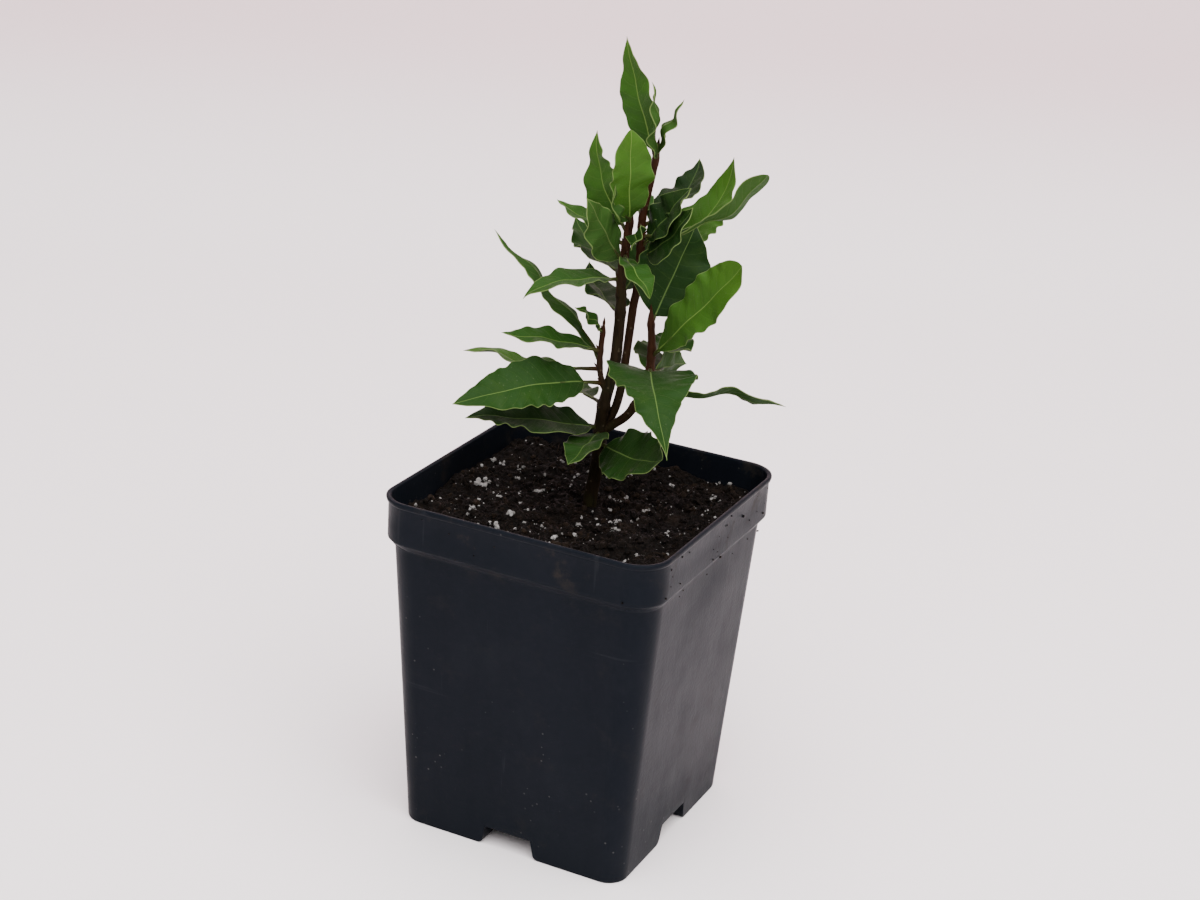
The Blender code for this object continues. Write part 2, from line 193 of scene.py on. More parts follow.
class Recipe:
    """A material under construction. Each word adds one node and hands back its output."""

    def __init__(self, name, roughness, specular):
        self.material = bpy.data.materials.new(name)
        self.material.use_nodes = True
        self.tree = self.material.node_tree
        self.shader = self.tree.nodes["Principled BSDF"]
        self.shader.inputs["Roughness"].default_value = roughness
        self.shader.inputs["Specular IOR Level"].default_value = specular

    def maths(self, operation, *numbers):
        """One operation on up to three numbers."""
        return add_node(self.tree, "ShaderNodeMath", dict(enumerate(numbers)), operation=operation)

    def plus(self, a, b):
        """a + b"""
        return self.maths("ADD", a, b)

    def minus(self, a, b):
        """a - b"""
        return self.maths("SUBTRACT", a, b)

    def times(self, a, b):
        """a * b"""
        return self.maths("MULTIPLY", a, b)

    def value(self, name):
        """A named value stored on the mesh's points."""
        return add_node(self.tree, "ShaderNodeAttribute", {}, "Fac", attribute_name=name)

    def place(self):
        """Position in metres, in the piece's own coordinates."""
        return add_node(self.tree, "ShaderNodeTexCoord", {}, "Object")

    def noise(self, scale, detail=4.0, rough=0.55, at=None, stretch=None):
        """Cloudy noise from 0 to 1; a stretch below 1 draws it out along that axis."""
        at = self.place() if at is None else at
        if stretch:
            at = add_node(self.tree, "ShaderNodeMapping", {"Vector": at, "Scale": stretch})
        inputs = {"Vector": at, "Scale": scale, "Detail": detail, "Roughness": rough}
        return add_node(self.tree, "ShaderNodeTexNoise", inputs, "Fac")

    def cells(self, scale, feature="DISTANCE_TO_EDGE", at=None):
        """Distance to the nearest cell edge, or with F1 to the nearest cell's middle."""
        inputs = {"Vector": self.place() if at is None else at, "Scale": scale}
        return add_node(self.tree, "ShaderNodeTexVoronoi", inputs, "Distance", feature=feature)

    def ramp(self, value, low, high, out_low=0.0, out_high=1.0):
        """Smooth step from out_low to out_high while value goes from low to high."""
        inputs = dict(enumerate((value, low, high, out_low, out_high)))
        return add_node(self.tree, "ShaderNodeMapRange", inputs, interpolation_type="SMOOTHSTEP")

    def mix(self, share, a, b):
        """Colour a, with the given share of colour b."""
        return add_node(self.tree, "ShaderNodeMix", {0: share, 6: a, 7: b}, 2, data_type="RGBA")

    def over(self, colour, mask, strength, paint):
        """Paint laid over a colour, where share = mask * strength."""
        return self.mix(self.times(mask, strength), colour, paint)

    def point(self, *numbers):
        """Three numbers joined into one position."""
        return add_node(self.tree, "ShaderNodeCombineXYZ", dict(enumerate(numbers)))

    def bump(self, height, strength, depth):
        """Light falls as if the surface rose by height * depth metres."""
        inputs = {"Strength": strength, "Distance": depth, "Height": height}
        return add_node(self.tree, "ShaderNodeBump", inputs)

    def finish(self, colour, roughness=None, normal=None):
        """Join the results to the shader and hand over the material."""
        for name, value in (("Base Color", colour), ("Roughness", roughness), ("Normal", normal)):
            if value is not None:
                feed(self.tree, self.shader.inputs[name], value)
        return self.material


print("recipe words:", [word for word in vars(Recipe) if not word.startswith("_")])

# %% [markdown]
# ## What a piece stands for
# A finished piece takes the place of a packed solid. The plant has no moving parts, so all
# pieces ride on one body.

# %% Dressing helper
NODES = {"main": "main_stem", "tall": "tall_stem", "right": "right_stem", "left": "left_shoot"}


def dress(piece, material, node):
    """Give a piece its finish, let it ride on the one body and stand for its packed node."""
    piece.data.materials.clear()
    piece.data.materials.append(material)
    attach(piece, "root")
    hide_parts(node)


# %% [markdown]
# ## Stems
# The trunk forks close above the soil. A slim stem leans on it and rises highest, one swings out
# to the right, and a short shoot grows on the left. Each is a list of points with a radius,
# joined by a smooth curve, which bends like wood and needs few numbers. The packed solids used
# the same lists, so the fine stems lie where the solids do.

# %% The four stems
STEMS = {
    "main": [(1.4, 2.2, 86, 2.3), (1.4, 2.2, 98, 2.35), (1.4, 2.2, 108, 2.4), (2.0, 2.3, 116, 2.35),
             (3.0, 2.9, 126, 2.3), (3.6, 3.0, 143, 2.15), (5.0, 3.7, 153, 1.95), (6.4, 4.4, 163, 1.9),
             (6.9, 4.6, 180, 1.75), (6.4, 4.4, 189, 1.55), (7.3, 4.8, 202, 1.3),
             (7.8, 5.1, 208, 1.15), (8.0, 5.2, 212, 0.5)],
    "tall": [(4.2, 3.6, 137, 1.5), (7.2, 6.9, 148, 1.45), (8.8, 7.8, 167, 1.4), (9.5, 8.3, 179, 1.4),
             (10.4, 8.8, 187.5, 1.4), (10.5, 9.0, 195, 1.35), (10.2, 8.8, 207, 1.25),
             (11.0, 8.9, 214, 1.2), (12.4, 9.4, 222.6, 1.1), (13.2, 9.6, 229.5, 1.05),
             (13.5, 9.7, 233, 0.45)],
    "right": [(3.8, 3.0, 137, 1.5), (7.5, 3.6, 140, 1.5), (12.3, 3.6, 144.5, 1.5),
              (15.9, 4.2, 151, 1.45), (18.0, 5.0, 157.5, 1.45), (18.4, 5.4, 163.5, 1.4),
              (18.1, 5.6, 170, 1.3), (17.4, 5.4, 177, 1.15), (17.2, 5.3, 180.5, 0.5)],
    "left": [(4.8, 3.4, 150, 1.0), (3.4, 2.0, 154, 1.0), (2.4, 1.4, 159, 0.95), (2.3, 1.4, 165, 0.95),
             (2.5, 1.8, 171, 0.9), (2.6, 1.9, 174, 0.4)],
}


def smooth_path(points, steps):
    """Catmull-Rom curve: a cubic for each span between two points.

    It leaves and meets each point along the chord between that point's neighbours.
    """
    p = np.array(points, float)
    p = np.vstack([2 * p[0] - p[1], p, 2 * p[-1] - p[-2]])
    t = np.linspace(0, 1, steps, endpoint=False)[None, :, None]
    a, b, c, d = (p[i:len(p) - 3 + i, None] for i in range(4))
    bend = (2 * a - 5 * b + 4 * c - d) * t ** 2 + (3 * b - a - 3 * c + d) * t ** 3
    spans = 0.5 * (2 * b + (c - a) * t + bend)
    return np.vstack([spans.reshape(-1, p.shape[1]), p[-2:-1]])


def joint_on(stem, height):
    """Middle of a stem at a height: the nearest of many points on its curve."""
    path = smooth_path(STEMS[stem], 40)
    return path[np.argmin(np.abs(path[:, 2] - height)), :3]


for stem, points in STEMS.items():
    print(stem, "stem from", points[0][2], "to", points[-1][2], "mm")

# %% [markdown]
# ## Where each leaf goes
# A leaf is described the way a gardener would bend a wire: its stem and the height of its joint,
# how far its tip reaches from there, how the midrib bows, and where its upper face looks (a
# compass direction and a rise, in degrees). Then come its width, its stalk and how drawn out its
# tip and base are. The last number is its age: 0 for young yellow-green, 1 for old bluish green.
# Five blades differ a little in width from the packed solids, as a last comparison with the
# photograph asked for.

# %% The leaf list
LEAVES = {
    "a1": ("main", 207, (2, -7, 32), (1, -3, 1), (325, -6), 15, 3, 0.7, 0.7, 0.18),
    "a2": ("main", 204, (-17, 8, 29), (-3, 0, -1), (250, 10), 15, 4, 1.2, 0.55, 0.28),
    "a3": ("main", 194, (-2, -23, 26), (0, -2, 1), (168, 6), 14, 4, 1.1, 0.75, 0.35),
    "a4": ("main", 189, (-22, -26, -3), (0, -3, 3), (265, 75), 12, 4, 1.1, 0.75, 0.45),
    "a5": ("main", 200, (-25, -1, 10), (-1, 0, 1), (355, 68), 12, 4, 1.1, 0.75, 0.35),
    "a6": ("main", 191, (-26, 17, 10), (-3, 2, -2), (348, 70), 17, 4, 1.1, 0.75, 0.6),
    "a7": ("main", 208, (-1, -12, 14), (0, -1, -1), (189, -14), 7, 2, 1.1, 0.75, 0.45),
    "a8": ("main", 178, (-22, 18, 8), (-3, 3, -2), (11, 66), 17, 4, 1.1, 0.75, 0.6),
    "a9": ("main", 197, (17, -14, -7), (1, -4, 2), (345, 62), 11, 4, 0.8, 0.75, 0.4),
    # e1's age of 0.75 gives it old-leaf colour and is partly painted shade: it lies low in the
    # plant's shadow
    "e1": ("main", 133, (31, -18, 7), (2, -1, -2), (228, 48), 20, 4, 0.8, 0.65, 0.75),
    "e2": ("main", 137, (2, -26, -3), (1, -1, 2), (250, 66), 14, 4, 1.0, 0.7, 0.7),
    "e3": ("main", 138, (-32, -33, 8), (2, -1, 1), (344, 69), 17, 4, 1.0, 0.65, 0.85),
    "g2": ("main", 184, (-5, 28, 12), (0, 2, -2), (300, 60), 14, 4, 1.1, 0.75, 0.5),
    "g3": ("main", 146, (-27, 15, -5), (0, 1, 2), (100, 80), 14, 8, 1.1, 0.75, 0.6),
    "b1": ("tall", 228, (-14, 2, 36), (-1, 1, 0), (258, -3), 13, 3, 1.3, 0.9, 0.3),
    "b2": ("tall", 227, (2, -8, 27), (1, -2, 2), (195, 0), 8, 2, 1.1, 0.75, 0.3),
    "b3": ("tall", 228, (10, -2, 20), (-1, -1, 2), (34, -21), 8, 2, 1.1, 0.75, 0.25),
    "b4": ("tall", 203, (4, -14, -1), (1, -3, 3), (200, 49), 7, 3, 1.1, 0.75, 0.8),
    "b5": ("tall", 206, (4, 33, 16), (3, 4, 0), (234, 60), 15, 4, 1.1, 0.75, 1.0),
    "b6": ("tall", 199, (14, 2, 22), (2, -1, 2), (233, 24), 15, 4, 1.0, 0.75, 0.9),
    "b7": ("tall", 192, (15, 38, 31), (1, 7, -6), (249, 53), 19, 4, 1.1, 0.7, 0.2),
    "b8": ("tall", 203, (38, 5, 26), (5, -1, -4), (148, 36), 10.5, 4, 0.55, 2.4, 0.35),
    "b9": ("tall", 196, (18, -3, 20), (2, -2, -1), (226, 19), 17, 4, 1.1, 0.75, 0.9),
    "g1": ("tall", 209, (-19, 22, 10), (0, 2, -2), (320, 60), 12, 4, 1.1, 0.75, 0.5),
    "c1": ("right", 176, (7, 14, 31), (0, 1, 1), (300, 8), 26, 3, 1.1, 0.75, 0.85),
    "c2": ("right", 165, (31, -4, 37), (0, -1, 0), (242, 20), 18, 4, 0.55, 0.75, 0.2),
    "c3": ("right", 168, (-2, 28, -1), (1, 1, -3), (43, 80), 15, 4, 1.1, 0.75, 0.55),
    "c4": ("right", 161, (23, -33, -15), (1, -6, 7), (305, 62), 29, 5, 1.5, 0.35, 0.72),
    "c5": ("right", 158, (-14, 29, 2), (1, 0, 2), (207, -61), 12, 4, 1.1, 0.75, 0.35),
    "c6": ("right", 160, (-2, 31, -6), (1, -2, 1), (182, 14), 13, 4, 1.1, 0.75, 0.3),
    "c7": ("right", 148, (35, 45, -7), (0, -2, 5), (115, 54), 9, 6, 1.1, 0.75, 0.7),
    "d1": ("left", 154, (-33, -39, -3), (3, -1, 4), (316, 51), 18, 8, 1.0, 0.6, 0.68),
    "d2": ("left", 159, (-49, -2, -2), (2, 1, -2), (111, 82), 9, 10, 0.7, 0.9, 0.25),
    "d3": ("left", 165, (-23, -25, 7), (-1, -2, 2), (0, 70), 11, 4, 1.0, 0.75, 0.55),
    "d4": ("left", 161, (-38, -6, 38), (4, 3, -2), (193, -45), 10, 4, 1.1, 0.75, 0.55),
    "d5": ("left", 171, (-6, -9, 10), (1, -1, 1), (11, 37), 6, 2, 1.1, 0.75, 0.45),
}
print(len(LEAVES), "leaves")

# %% [markdown]
# ## Midrib and outline
# The midrib bows once from joint to tip, as most leaves do, so one quadratic curve is enough. At
# each place along it stand three arrows: ahead, the way the upper face looks, and sideways. The
# blade's half width is k to a power times (1 - k) to a power, where k runs from the blade's base
# to its tip. Two numbers then give any leaf from slim to heart-shaped.

# %% Midrib and outline
RIB_STEPS = 401


def outline(k, tip, base):
    """k^base * (1 - k)^tip, divided by its own peak, so the widest place is 1."""
    peak = base / (base + tip)
    return k ** base * (1 - k) ** tip / (peak ** base * (1 - peak) ** tip)


def bowed(t, start, bend, end):
    """Quadratic curve: (1 - t)^2 * start + 2 t (1 - t) * bend + t^2 * end."""
    return (1 - t) ** 2 * start + 2 * t * (1 - t) * bend + t * t * end


def path_length(points):
    """Way travelled from the first point to each other one, in millimetres."""
    return np.concatenate([[0], np.cumsum(np.linalg.norm(np.diff(points, axis=0), axis=1))])


def midrib(spec, along):
    """Points, arrows ahead, arrows of the upper face and total length for places on a leaf.

    The upper arrow is the wanted direction minus its part along the midrib.
    """
    stem, height, reach, bow, face = spec[:5]
    start = joint_on(stem, height)
    end = start + np.array(reach, float)
    bend = (start + end) / 2 + 2 * np.array(bow, float)
    even = np.linspace(0, 1, RIB_STEPS)
    length = path_length(bowed(even[:, None], start, bend, end))
    t = np.interp(along * length[-1], length, even)[:, None]
    ahead = unit(2 * (1 - t) * (bend - start) + 2 * t * (end - bend))
    compass, rise = np.radians(face)
    up = np.array([np.cos(rise) * np.cos(compass), np.cos(rise) * np.sin(compass), np.sin(rise)])
    normal = unit(up - ahead * (ahead @ up)[:, None])
    return bowed(t, start, bend, end), ahead, normal, length[-1]


def leaf_length(spec):
    """Length of stalk and blade together."""
    return midrib(spec, np.array([0.0]))[3]


lengths = [leaf_length(spec) for spec in LEAVES.values()]
print("leaves with stalks are", round(min(lengths)), "to", round(max(lengths)), "mm long")

# %% [markdown]
# ## Waves, frills and bends
# Bay laurel has a frilled edge. A plain sine would look stamped, so its place is warped and its
# height swells and fades, differently on each leaf and side. Long waves run under the frill, the
# skin is quilted between the side veins, and the tip curls. Narrow leaves are calmer at the
# margin and bend more as a whole.

# %% Waves of a blade
WAVES = 3
RIPPLE_MM = 5.8
VEINS_PER_MM = 0.24


def ripples(blade, side_sign, number, count):
    """Uneven ripples: sin(2 pi (count * warped place + start)) times a slow swell."""
    start = 0.61 * number + 0.37 * side_sign
    warped = blade + 0.045 * np.sin(2 * np.pi * (1.3 * blade + 0.7 * start))
    swell = 0.62 + 0.38 * np.sin(2 * np.pi * (1.1 * blade + 1.9 * start))
    return np.sin(2 * np.pi * (count * warped + start)) * swell


def calmness(width):
    """Share of the ripples that a blade keeps: 0.3 when narrow, all of them from 15 mm."""
    return min(max((width - 6) / 9, 0.3), 1.0)


def scallop(blade, v, spec, number, count):
    """Factor on the half width: 1 + v^2 * (0.05 * calmness * ripples + 0.03 * slow sine)."""
    tuck = 0.05 * calmness(spec[5]) * ripples(blade, np.sign(v), number + 0.35, count)
    slow = 0.03 * np.sin(2 * np.pi * (1.7 * blade + 0.4 * number))
    return 1 + v ** 2 * (tuck + slow) * np.sqrt(np.sin(np.pi * blade))


def waves(blade, v, half, spec, number, count):
    """Height of the skin above a flat sheet, as the sum of three terms.

    long wave: (0.35 + 0.025 width) * |v|^1.5 * sin(2 pi (3 k + start))
    frill: calmness * (0.38 + 0.022 width) * |v|^2.6 * ripples
    quilt: 0.17 (1 - v^2) * |v|^0.6 * cos(2 pi * side veins passed)
    """
    width = spec[5]
    turns = WAVES * blade + 0.37 * number + 0.27 * np.sign(v)
    long_wave = (0.35 + 0.025 * width) * np.abs(v) ** 1.5 * np.sin(2 * np.pi * turns)
    frill = calmness(width) * (0.38 + 0.022 * width) * np.abs(v) ** 2.6
    frill = frill * ripples(blade, np.sign(v), number, count)
    veins = (blade - 0.13 * np.abs(v) ** 1.4) * (leaf_length(spec) - spec[6]) * VEINS_PER_MM
    quilt = 0.17 * (1 - v ** 2) * np.abs(v) ** 0.6 * np.cos(2 * np.pi * veins)
    return long_wave + frill + quilt * np.minimum(half / 4, 1)


def bends(blade, spec, number):
    """Bob and curl of the whole blade: size * 4 k (1 - k) * sine, minus a curl at the tip.

    The curl grows with the square of the way through the last 22 % of the blade.
    """
    size = 1.0 if spec[5] < 11 else 0.35
    bob = size * 4 * blade * (1 - blade) * np.sin(2 * np.pi * (2.3 * blade + 0.3 * number))
    tip_part = np.clip((blade - 0.78) / 0.22, 0, 1)
    curl = (0.9 + 0.02 * leaf_length(spec)) * math.sin(2.4 * number + 0.6)
    return bob - curl * tip_part ** 2


print("calmness of 8, 12 and 20 mm:", [round(calmness(width), 2) for width in (8, 12, 20)])

# %% [markdown]
# ## The blade as a closed skin
# A blade is thin at the margin and thick at the rib, so its section is a closed lens: once
# across on top, once back underneath. The two halves fold up a little, like an open book. The
# points crowd at the midrib and at both margins, where the form changes fastest.

# %% One blade
FOLD = math.radians(12)


def across_places(columns):
    """Places round the section, -1 to 1 on top and back below, and which face they are on.

    place = (1 - cos(pi * |even|)) / 2 with its sign; face = 1 on top, -1 below, 0 on margins.
    """
    even = np.linspace(-1, 1, columns)
    across = np.sign(even) * (1 - np.cos(np.pi * np.abs(even))) / 2
    v = np.concatenate([across, across[-2:0:-1]])[None]
    face = np.concatenate([np.ones(columns), -np.ones(columns - 2)])[None]
    return v, face * (np.abs(v) < 0.999)


def thickness(blade, v, half, face):
    """Half the thickness: 0.12 to 0.16 mm, a groove over the rib on top, the rib below."""
    rib = np.exp(-(half * v / 0.42) ** 2)
    raised = 0.34 * (1 - 0.75 * blade) * rib
    thick = 0.12 + 0.04 * (1 - v ** 2) + np.where(face > 0, -0.09 * rib, raised)
    return thick * np.minimum(1.0, 0.3 + 12 * (1 - blade))


def leaf_blade(spec, number, rows, columns):
    """Points = midrib + side * half * v * cos(fold) + up * lift.

    lift = half * |v| * sin(fold) + waves + bends + thickness on top, minus it below.
    """
    width, stalk, tip, base, age = spec[5:]
    total = leaf_length(spec)
    first = stalk / total
    k = np.linspace(0, 1, rows) ** 0.92
    along = first * 0.8 + (1 - first * 0.8) * k
    centre, ahead, normal, _ = midrib(spec, along)
    side = np.cross(normal, ahead)
    blade = np.clip((along - first) / (1 - first), 0, 1)[:, None]
    v, face = across_places(columns)
    count = max((total - stalk) / RIPPLE_MM, 3.0)
    half = np.maximum(outline(blade, tip, base) * width / 2, 0.5 * (1 - blade) + 0.1 * blade)
    grow = np.minimum(half / (width / 2) * 2, 1) * np.sqrt(np.sin(np.pi * blade))
    half = half * scallop(blade, v, spec, number, count)
    out = half * v * math.cos(FOLD)
    lift = half * np.abs(v) * math.sin(FOLD) + grow * waves(blade, v, half, spec, number, count)
    lift = lift + bends(blade, spec, number) + face * thickness(blade, v, half, face)
    points = centre[:, None] + out[..., None] * side[:, None] + lift[..., None] * normal[:, None]
    values = {"along": blade, "across": v, "rib_mm": half * np.abs(v), "under": face < 0,
              "edge_mm": half * (1 - np.abs(v)), "age": age, "leaf": number, "length_mm": total}
    values = {key: np.broadcast_to(value, out.shape) for key, value in values.items()}
    return points, grid_faces(rows, v.shape[1], wrap=True), values


print("a large blade has", len(leaf_blade(LEAVES["c1"], 0, 96, 27)[1]), "faces before closing")

# %% [markdown]
# ## Leaves as one piece for each stem
# Each stem's blades go into one mesh, which stays light in the viewport. One recipe serves all
# leaves, because age and leaf number ride along as values on the points. Small leaves get fewer
# points.

# %% Build the blades
SMALL_LEAF = 24


def stem_blades(stem):
    """All blades of one stem, the small ones on a coarser grid."""
    parts = []
    for number, spec in enumerate(LEAVES.values()):
        if spec[0] == stem:
            small = np.linalg.norm(spec[2]) < SMALL_LEAF
            parts.append(leaf_blade(spec, number, 60 if small else 96, 19 if small else 27))
    return make_mesh(NODES[stem] + "_blades", *join_parts(parts), closed=True)


blades = {stem: stem_blades(stem) for stem in STEMS}

# %% [markdown]
# ## Patterns on a leaf
# Fine side veins leave the pale midrib at a slant and curve forward. They could be painted on an
# image. Here they are drawn from the values on the points, so they stay sharp at any distance: a
# repeating ramp gives the side veins, and a cell pattern in leaf millimetres gives the net
# between them.

# %% Veins, net and margin
NET_CELLS = 1.15


def leaf_patterns(r):
    """Place along the leaf, then masks: side veins, net, midrib, margin and patches.

    side vein: |fract((along - 0.13 |across|^1.4) * length * 0.24 + start) - 0.5| near 0
    """
    along, across = r.value("along"), r.value("across")
    rib, edge = r.value("rib_mm"), r.value("edge_mm")
    leaf, length = r.value("leaf"), r.value("length_mm")
    reach = r.maths("POWER", r.maths("ABSOLUTE", across), 1.4)
    slant = r.minus(along, r.times(reach, 0.13))
    start = r.plus(r.times(r.maths("SIGN", across), 0.22), leaf)
    turns = r.plus(r.times(slant, r.times(length, VEINS_PER_MM)), start)
    saw = r.maths("ABSOLUTE", r.minus(r.maths("FRACT", turns), 0.5))
    side_vein = r.times(r.ramp(saw, 0.055, 0.0), r.ramp(edge, 0.5, 1.6))
    across_mm = r.times(rib, r.maths("SIGN", across))
    net_place = r.point(r.times(along, length), across_mm, r.times(leaf, 7.3))
    net = r.ramp(r.cells(NET_CELLS, at=net_place), 0.09, 0.0)
    line_width = r.ramp(along, 0.0, 1.0, 0.33, 0.13)
    midrib_line = r.ramp(rib, line_width, r.times(line_width, 0.4))
    patches = r.noise(0.16, 3.0, at=net_place)
    return along, side_vein, net, midrib_line, r.ramp(edge, 0.3, 0.1), patches


print("a leaf of 50 mm has about", round(50 * VEINS_PER_MM), "side veins on each side")

# %% [markdown]
# ## Leaf finish
# Bay leaves are leathery and shine a little. Young ones are lighter towards the tip, and the
# underside is greyer with clearer veins. All blades are painted darker at the base, as painted
# shade where the leaves crowd round the stem. The margin is a thin pale line. Colours laid over
# each other, from broad to fine, imitate that.

# %% Leaf recipe
def leaf_finish():
    """Upper colour by age, veins and margin over it; the underside by its own mix."""
    r = Recipe("laurel_leaf", roughness=0.5, specular=0.06)
    along, side_vein, net, midrib_line, margin, patches = leaf_patterns(r)
    under, age = r.value("under"), r.value("age")
    broad = r.noise(38.0, 2.0)
    fine = r.noise(900.0, 3.0)
    young = r.mix(broad, (0.029, 0.080, 0.0075), (0.039, 0.102, 0.0105))
    middle = r.mix(broad, (0.0100, 0.0365, 0.0046), (0.0165, 0.052, 0.0062))
    old = r.mix(broad, (0.0027, 0.0115, 0.0018), (0.0054, 0.0185, 0.003))
    upper = r.mix(r.ramp(age, 0.0, 0.5), young, middle)
    upper = r.mix(r.ramp(age, 0.45, 1.0), upper, old)
    upper = r.mix(r.ramp(patches, 0.45, 0.75, 0.0, 0.25), upper, (0.024, 0.050, 0.006))
    # painted shade: darker towards the blade's base, where the leaves crowd round the stem
    upper = r.mix(r.ramp(along, 0.0, 0.5, 0.4, 0.0), upper, old)
    young_tip = r.ramp(along, 0.55, 1.0, 0.0, 0.35)
    upper = r.over(upper, young_tip, r.ramp(age, 0.6, 0.1), (0.05, 0.112, 0.010))
    pale_vein = r.mix(age, (0.075, 0.135, 0.020), (0.028, 0.055, 0.014))
    pale_rib = r.mix(age, (0.12, 0.20, 0.038), (0.062, 0.105, 0.030))
    upper = r.over(upper, side_vein, 0.2, pale_vein)
    upper = r.over(upper, net, 0.08, pale_vein)
    upper = r.over(upper, midrib_line, 0.85, pale_rib)
    back = r.mix(0.5, r.mix(age, (0.029, 0.066, 0.012), (0.0105, 0.028, 0.007)), upper)
    back = r.over(back, side_vein, 0.35, (0.052, 0.080, 0.024))
    back = r.over(back, net, 0.2, (0.018, 0.036, 0.009))
    back = r.over(back, midrib_line, 0.8, (0.072, 0.10, 0.032))
    specks = r.times(r.ramp(r.cells(640.0, "F1"), 0.16, 0.08), r.ramp(r.noise(60.0, 2.0), 0.5, 0.62))
    upper = r.over(upper, specks, 0.35, (0.075, 0.105, 0.05))
    colour = r.over(r.mix(under, upper, back), margin, 0.8, (0.125, 0.18, 0.055))
    rough = r.plus(r.times(under, 0.15), r.ramp(fine, 0.3, 0.7, 0.44, 0.56))
    relief = r.minus(r.times(fine, 0.12), r.times(side_vein, 0.4))
    relief = r.minus(relief, r.times(net, 0.16))
    return r.finish(colour, rough, r.bump(relief, 0.6, 0.00025))


leaf_material = leaf_finish()
for stem, piece in blades.items():
    dress(piece, leaf_material, NODES[stem])
print("leaf finish has", len(leaf_material.node_tree.nodes), "nodes")

# %% [markdown]
# ## Wood, stalks and buds
# Stems, leaf stalks and buds are all a round section carried along a path, so one tube helper
# makes them. A pointed bud closes each stem, and a tiny one sits above each stalk.

# %% Tubes
FIXED_GUESS = np.array([0.31, -0.95, 0.05])


def tube(path, radius, sides, **values):
    """Ring = centre + radius * (cos(a) * side + sin(a) * other) at each path point.

    side = ahead x a fixed guess, so neighbouring rings never twist against each other.
    The radius is one number for each ring, or one for each point of each ring.
    """
    ahead = unit(np.gradient(path, axis=0))
    side = unit(np.cross(ahead, FIXED_GUESS))
    other = np.cross(side, ahead)
    angle = np.linspace(0, 2 * np.pi, sides, endpoint=False)[None, :, None]
    ring = np.cos(angle) * side[:, None] + np.sin(angle) * other[:, None]
    radius = radius[:, None, None] if radius.ndim == 1 else radius[..., None]
    values["height_mm"] = np.repeat(path_length(path), sides)
    return path[:, None] + ring * radius, grid_faces(len(path), sides, wrap=True)[:, ::-1], values


def bud(at, ahead, length, width):
    """Spindle: radius = width * sin(pi (0.12 + 0.87 s))^0.7 * (1.05 - 0.6 s), s from 0 to 1."""
    rings, sides = 10, 8
    s = np.linspace(0, 1, rings)
    path = at + ahead * (s * length)[:, None]
    radius = width * np.sin(np.pi * (0.12 + 0.87 * s)) ** 0.7 * (1.05 - 0.6 * s)
    return tube(path, radius, sides, fresh=np.full(rings * sides, 0.8))


print("a bud has", len(bud(np.zeros(3), np.array([0, 0, 1.0]), 2, 0.5)[1]), "faces before closing")

# %% [markdown]
# ## Stem and stalk
# A stem swells a little at every leaf joint, and low ridges run up it. A value called fresh goes
# along with the points: low is old grey bark, about 1 is red young bark, and more is green
# stalk. It saves separate materials where one grows into the other.

# %% Stem and stalk tubes
STEM_SIDES = 20
STALK_SIDES = 10
FRESH = {"main": (0.15, 0.6, 3), "tall": (0.35, 0.6, 1), "right": (0.35, 0.5, 1),
         "left": (0.3, 0.5, 1)}


def stem_wood(stem):
    """Packed radius * (0.97 + 0.16 * swell at each joint + two low ridges)."""
    path = smooth_path(STEMS[stem], 16)
    xyz, radius = path[:, :3], path[:, 3]
    height = xyz[:, 2:3]
    joints = np.array([spec[1] for spec in LEAVES.values() if spec[0] == stem], float)
    swell = np.exp(-((height - joints) / 1.1) ** 2).sum(1).clip(0, 1)
    angle = np.linspace(0, 2 * np.pi, STEM_SIDES, endpoint=False)[None]
    ridge = 0.025 * np.sin(3 * angle + height * 0.21) + 0.02 * np.sin(7 * angle - height * 0.6)
    radius = radius[:, None] * (0.97 + 0.16 * swell[:, None] + ridge)
    radius[-1] *= 0.2
    top = ((height - height[0]) / (height[-1] - height[0])).ravel()
    low, gain, power = FRESH[stem]
    return tube(xyz, radius, STEM_SIDES, fresh=np.repeat(low + gain * top ** power, STEM_SIDES))


def stalk_tube(spec):
    """Stalk on the midrib: radius 0.86 - 0.52 s^0.8, sunk by that much below the blade."""
    total = leaf_length(spec)
    along = np.linspace(0, min(spec[6] / total + 0.16, 0.5), 14)
    centre, _, normal, _ = midrib(spec, along)
    s = along / along[-1]
    share = along * total / spec[6]
    radius = (0.86 - 0.52 * s ** 0.8) * (0.8 if spec[5] < 9 else 1.0)
    below = np.clip((share - 0.7) / 0.6, 0, 1)
    centre = centre - normal * (0.1 + (radius - 0.1) * below)[:, None]
    fresh = np.repeat(1.0 + 0.6 * np.clip(share, 0, 1), STALK_SIDES)
    return tube(centre, radius, STALK_SIDES, fresh=fresh)


def joint_bud(spec, path):
    """Tiny bud above a stalk, leaning half way between the stem and the stalk."""
    _, ahead, _, _ = midrib(spec, np.array([0.0, 0.06]))
    above = path[min(np.argmin(np.abs(path[:, 2] - spec[1])) + 6, len(path) - 1)]
    here = joint_on(spec[0], spec[1])
    lean = unit(unit(above - here + 1e-6) + unit(ahead[0]) * 0.9)
    return bud(here + unit(ahead[0]) * 0.9 + np.array([0, 0, 0.5]), lean, 1.9, 0.42)


def stem_parts(stem):
    """One mesh of a stem, its end bud, and a stalk and a small bud for each leaf."""
    path = smooth_path(STEMS[stem], 16)[:, :3]
    parts = [stem_wood(stem), bud(path[-6], unit(path[-1] - path[-6]), 3.2, 0.62)]
    for spec in LEAVES.values():
        if spec[0] == stem:
            parts.append(stalk_tube(spec))
            parts.append(joint_bud(spec, path))
    return make_mesh(NODES[stem] + "_wood", *join_parts(parts), closed=True)


wood = {stem: stem_parts(stem) for stem in STEMS}

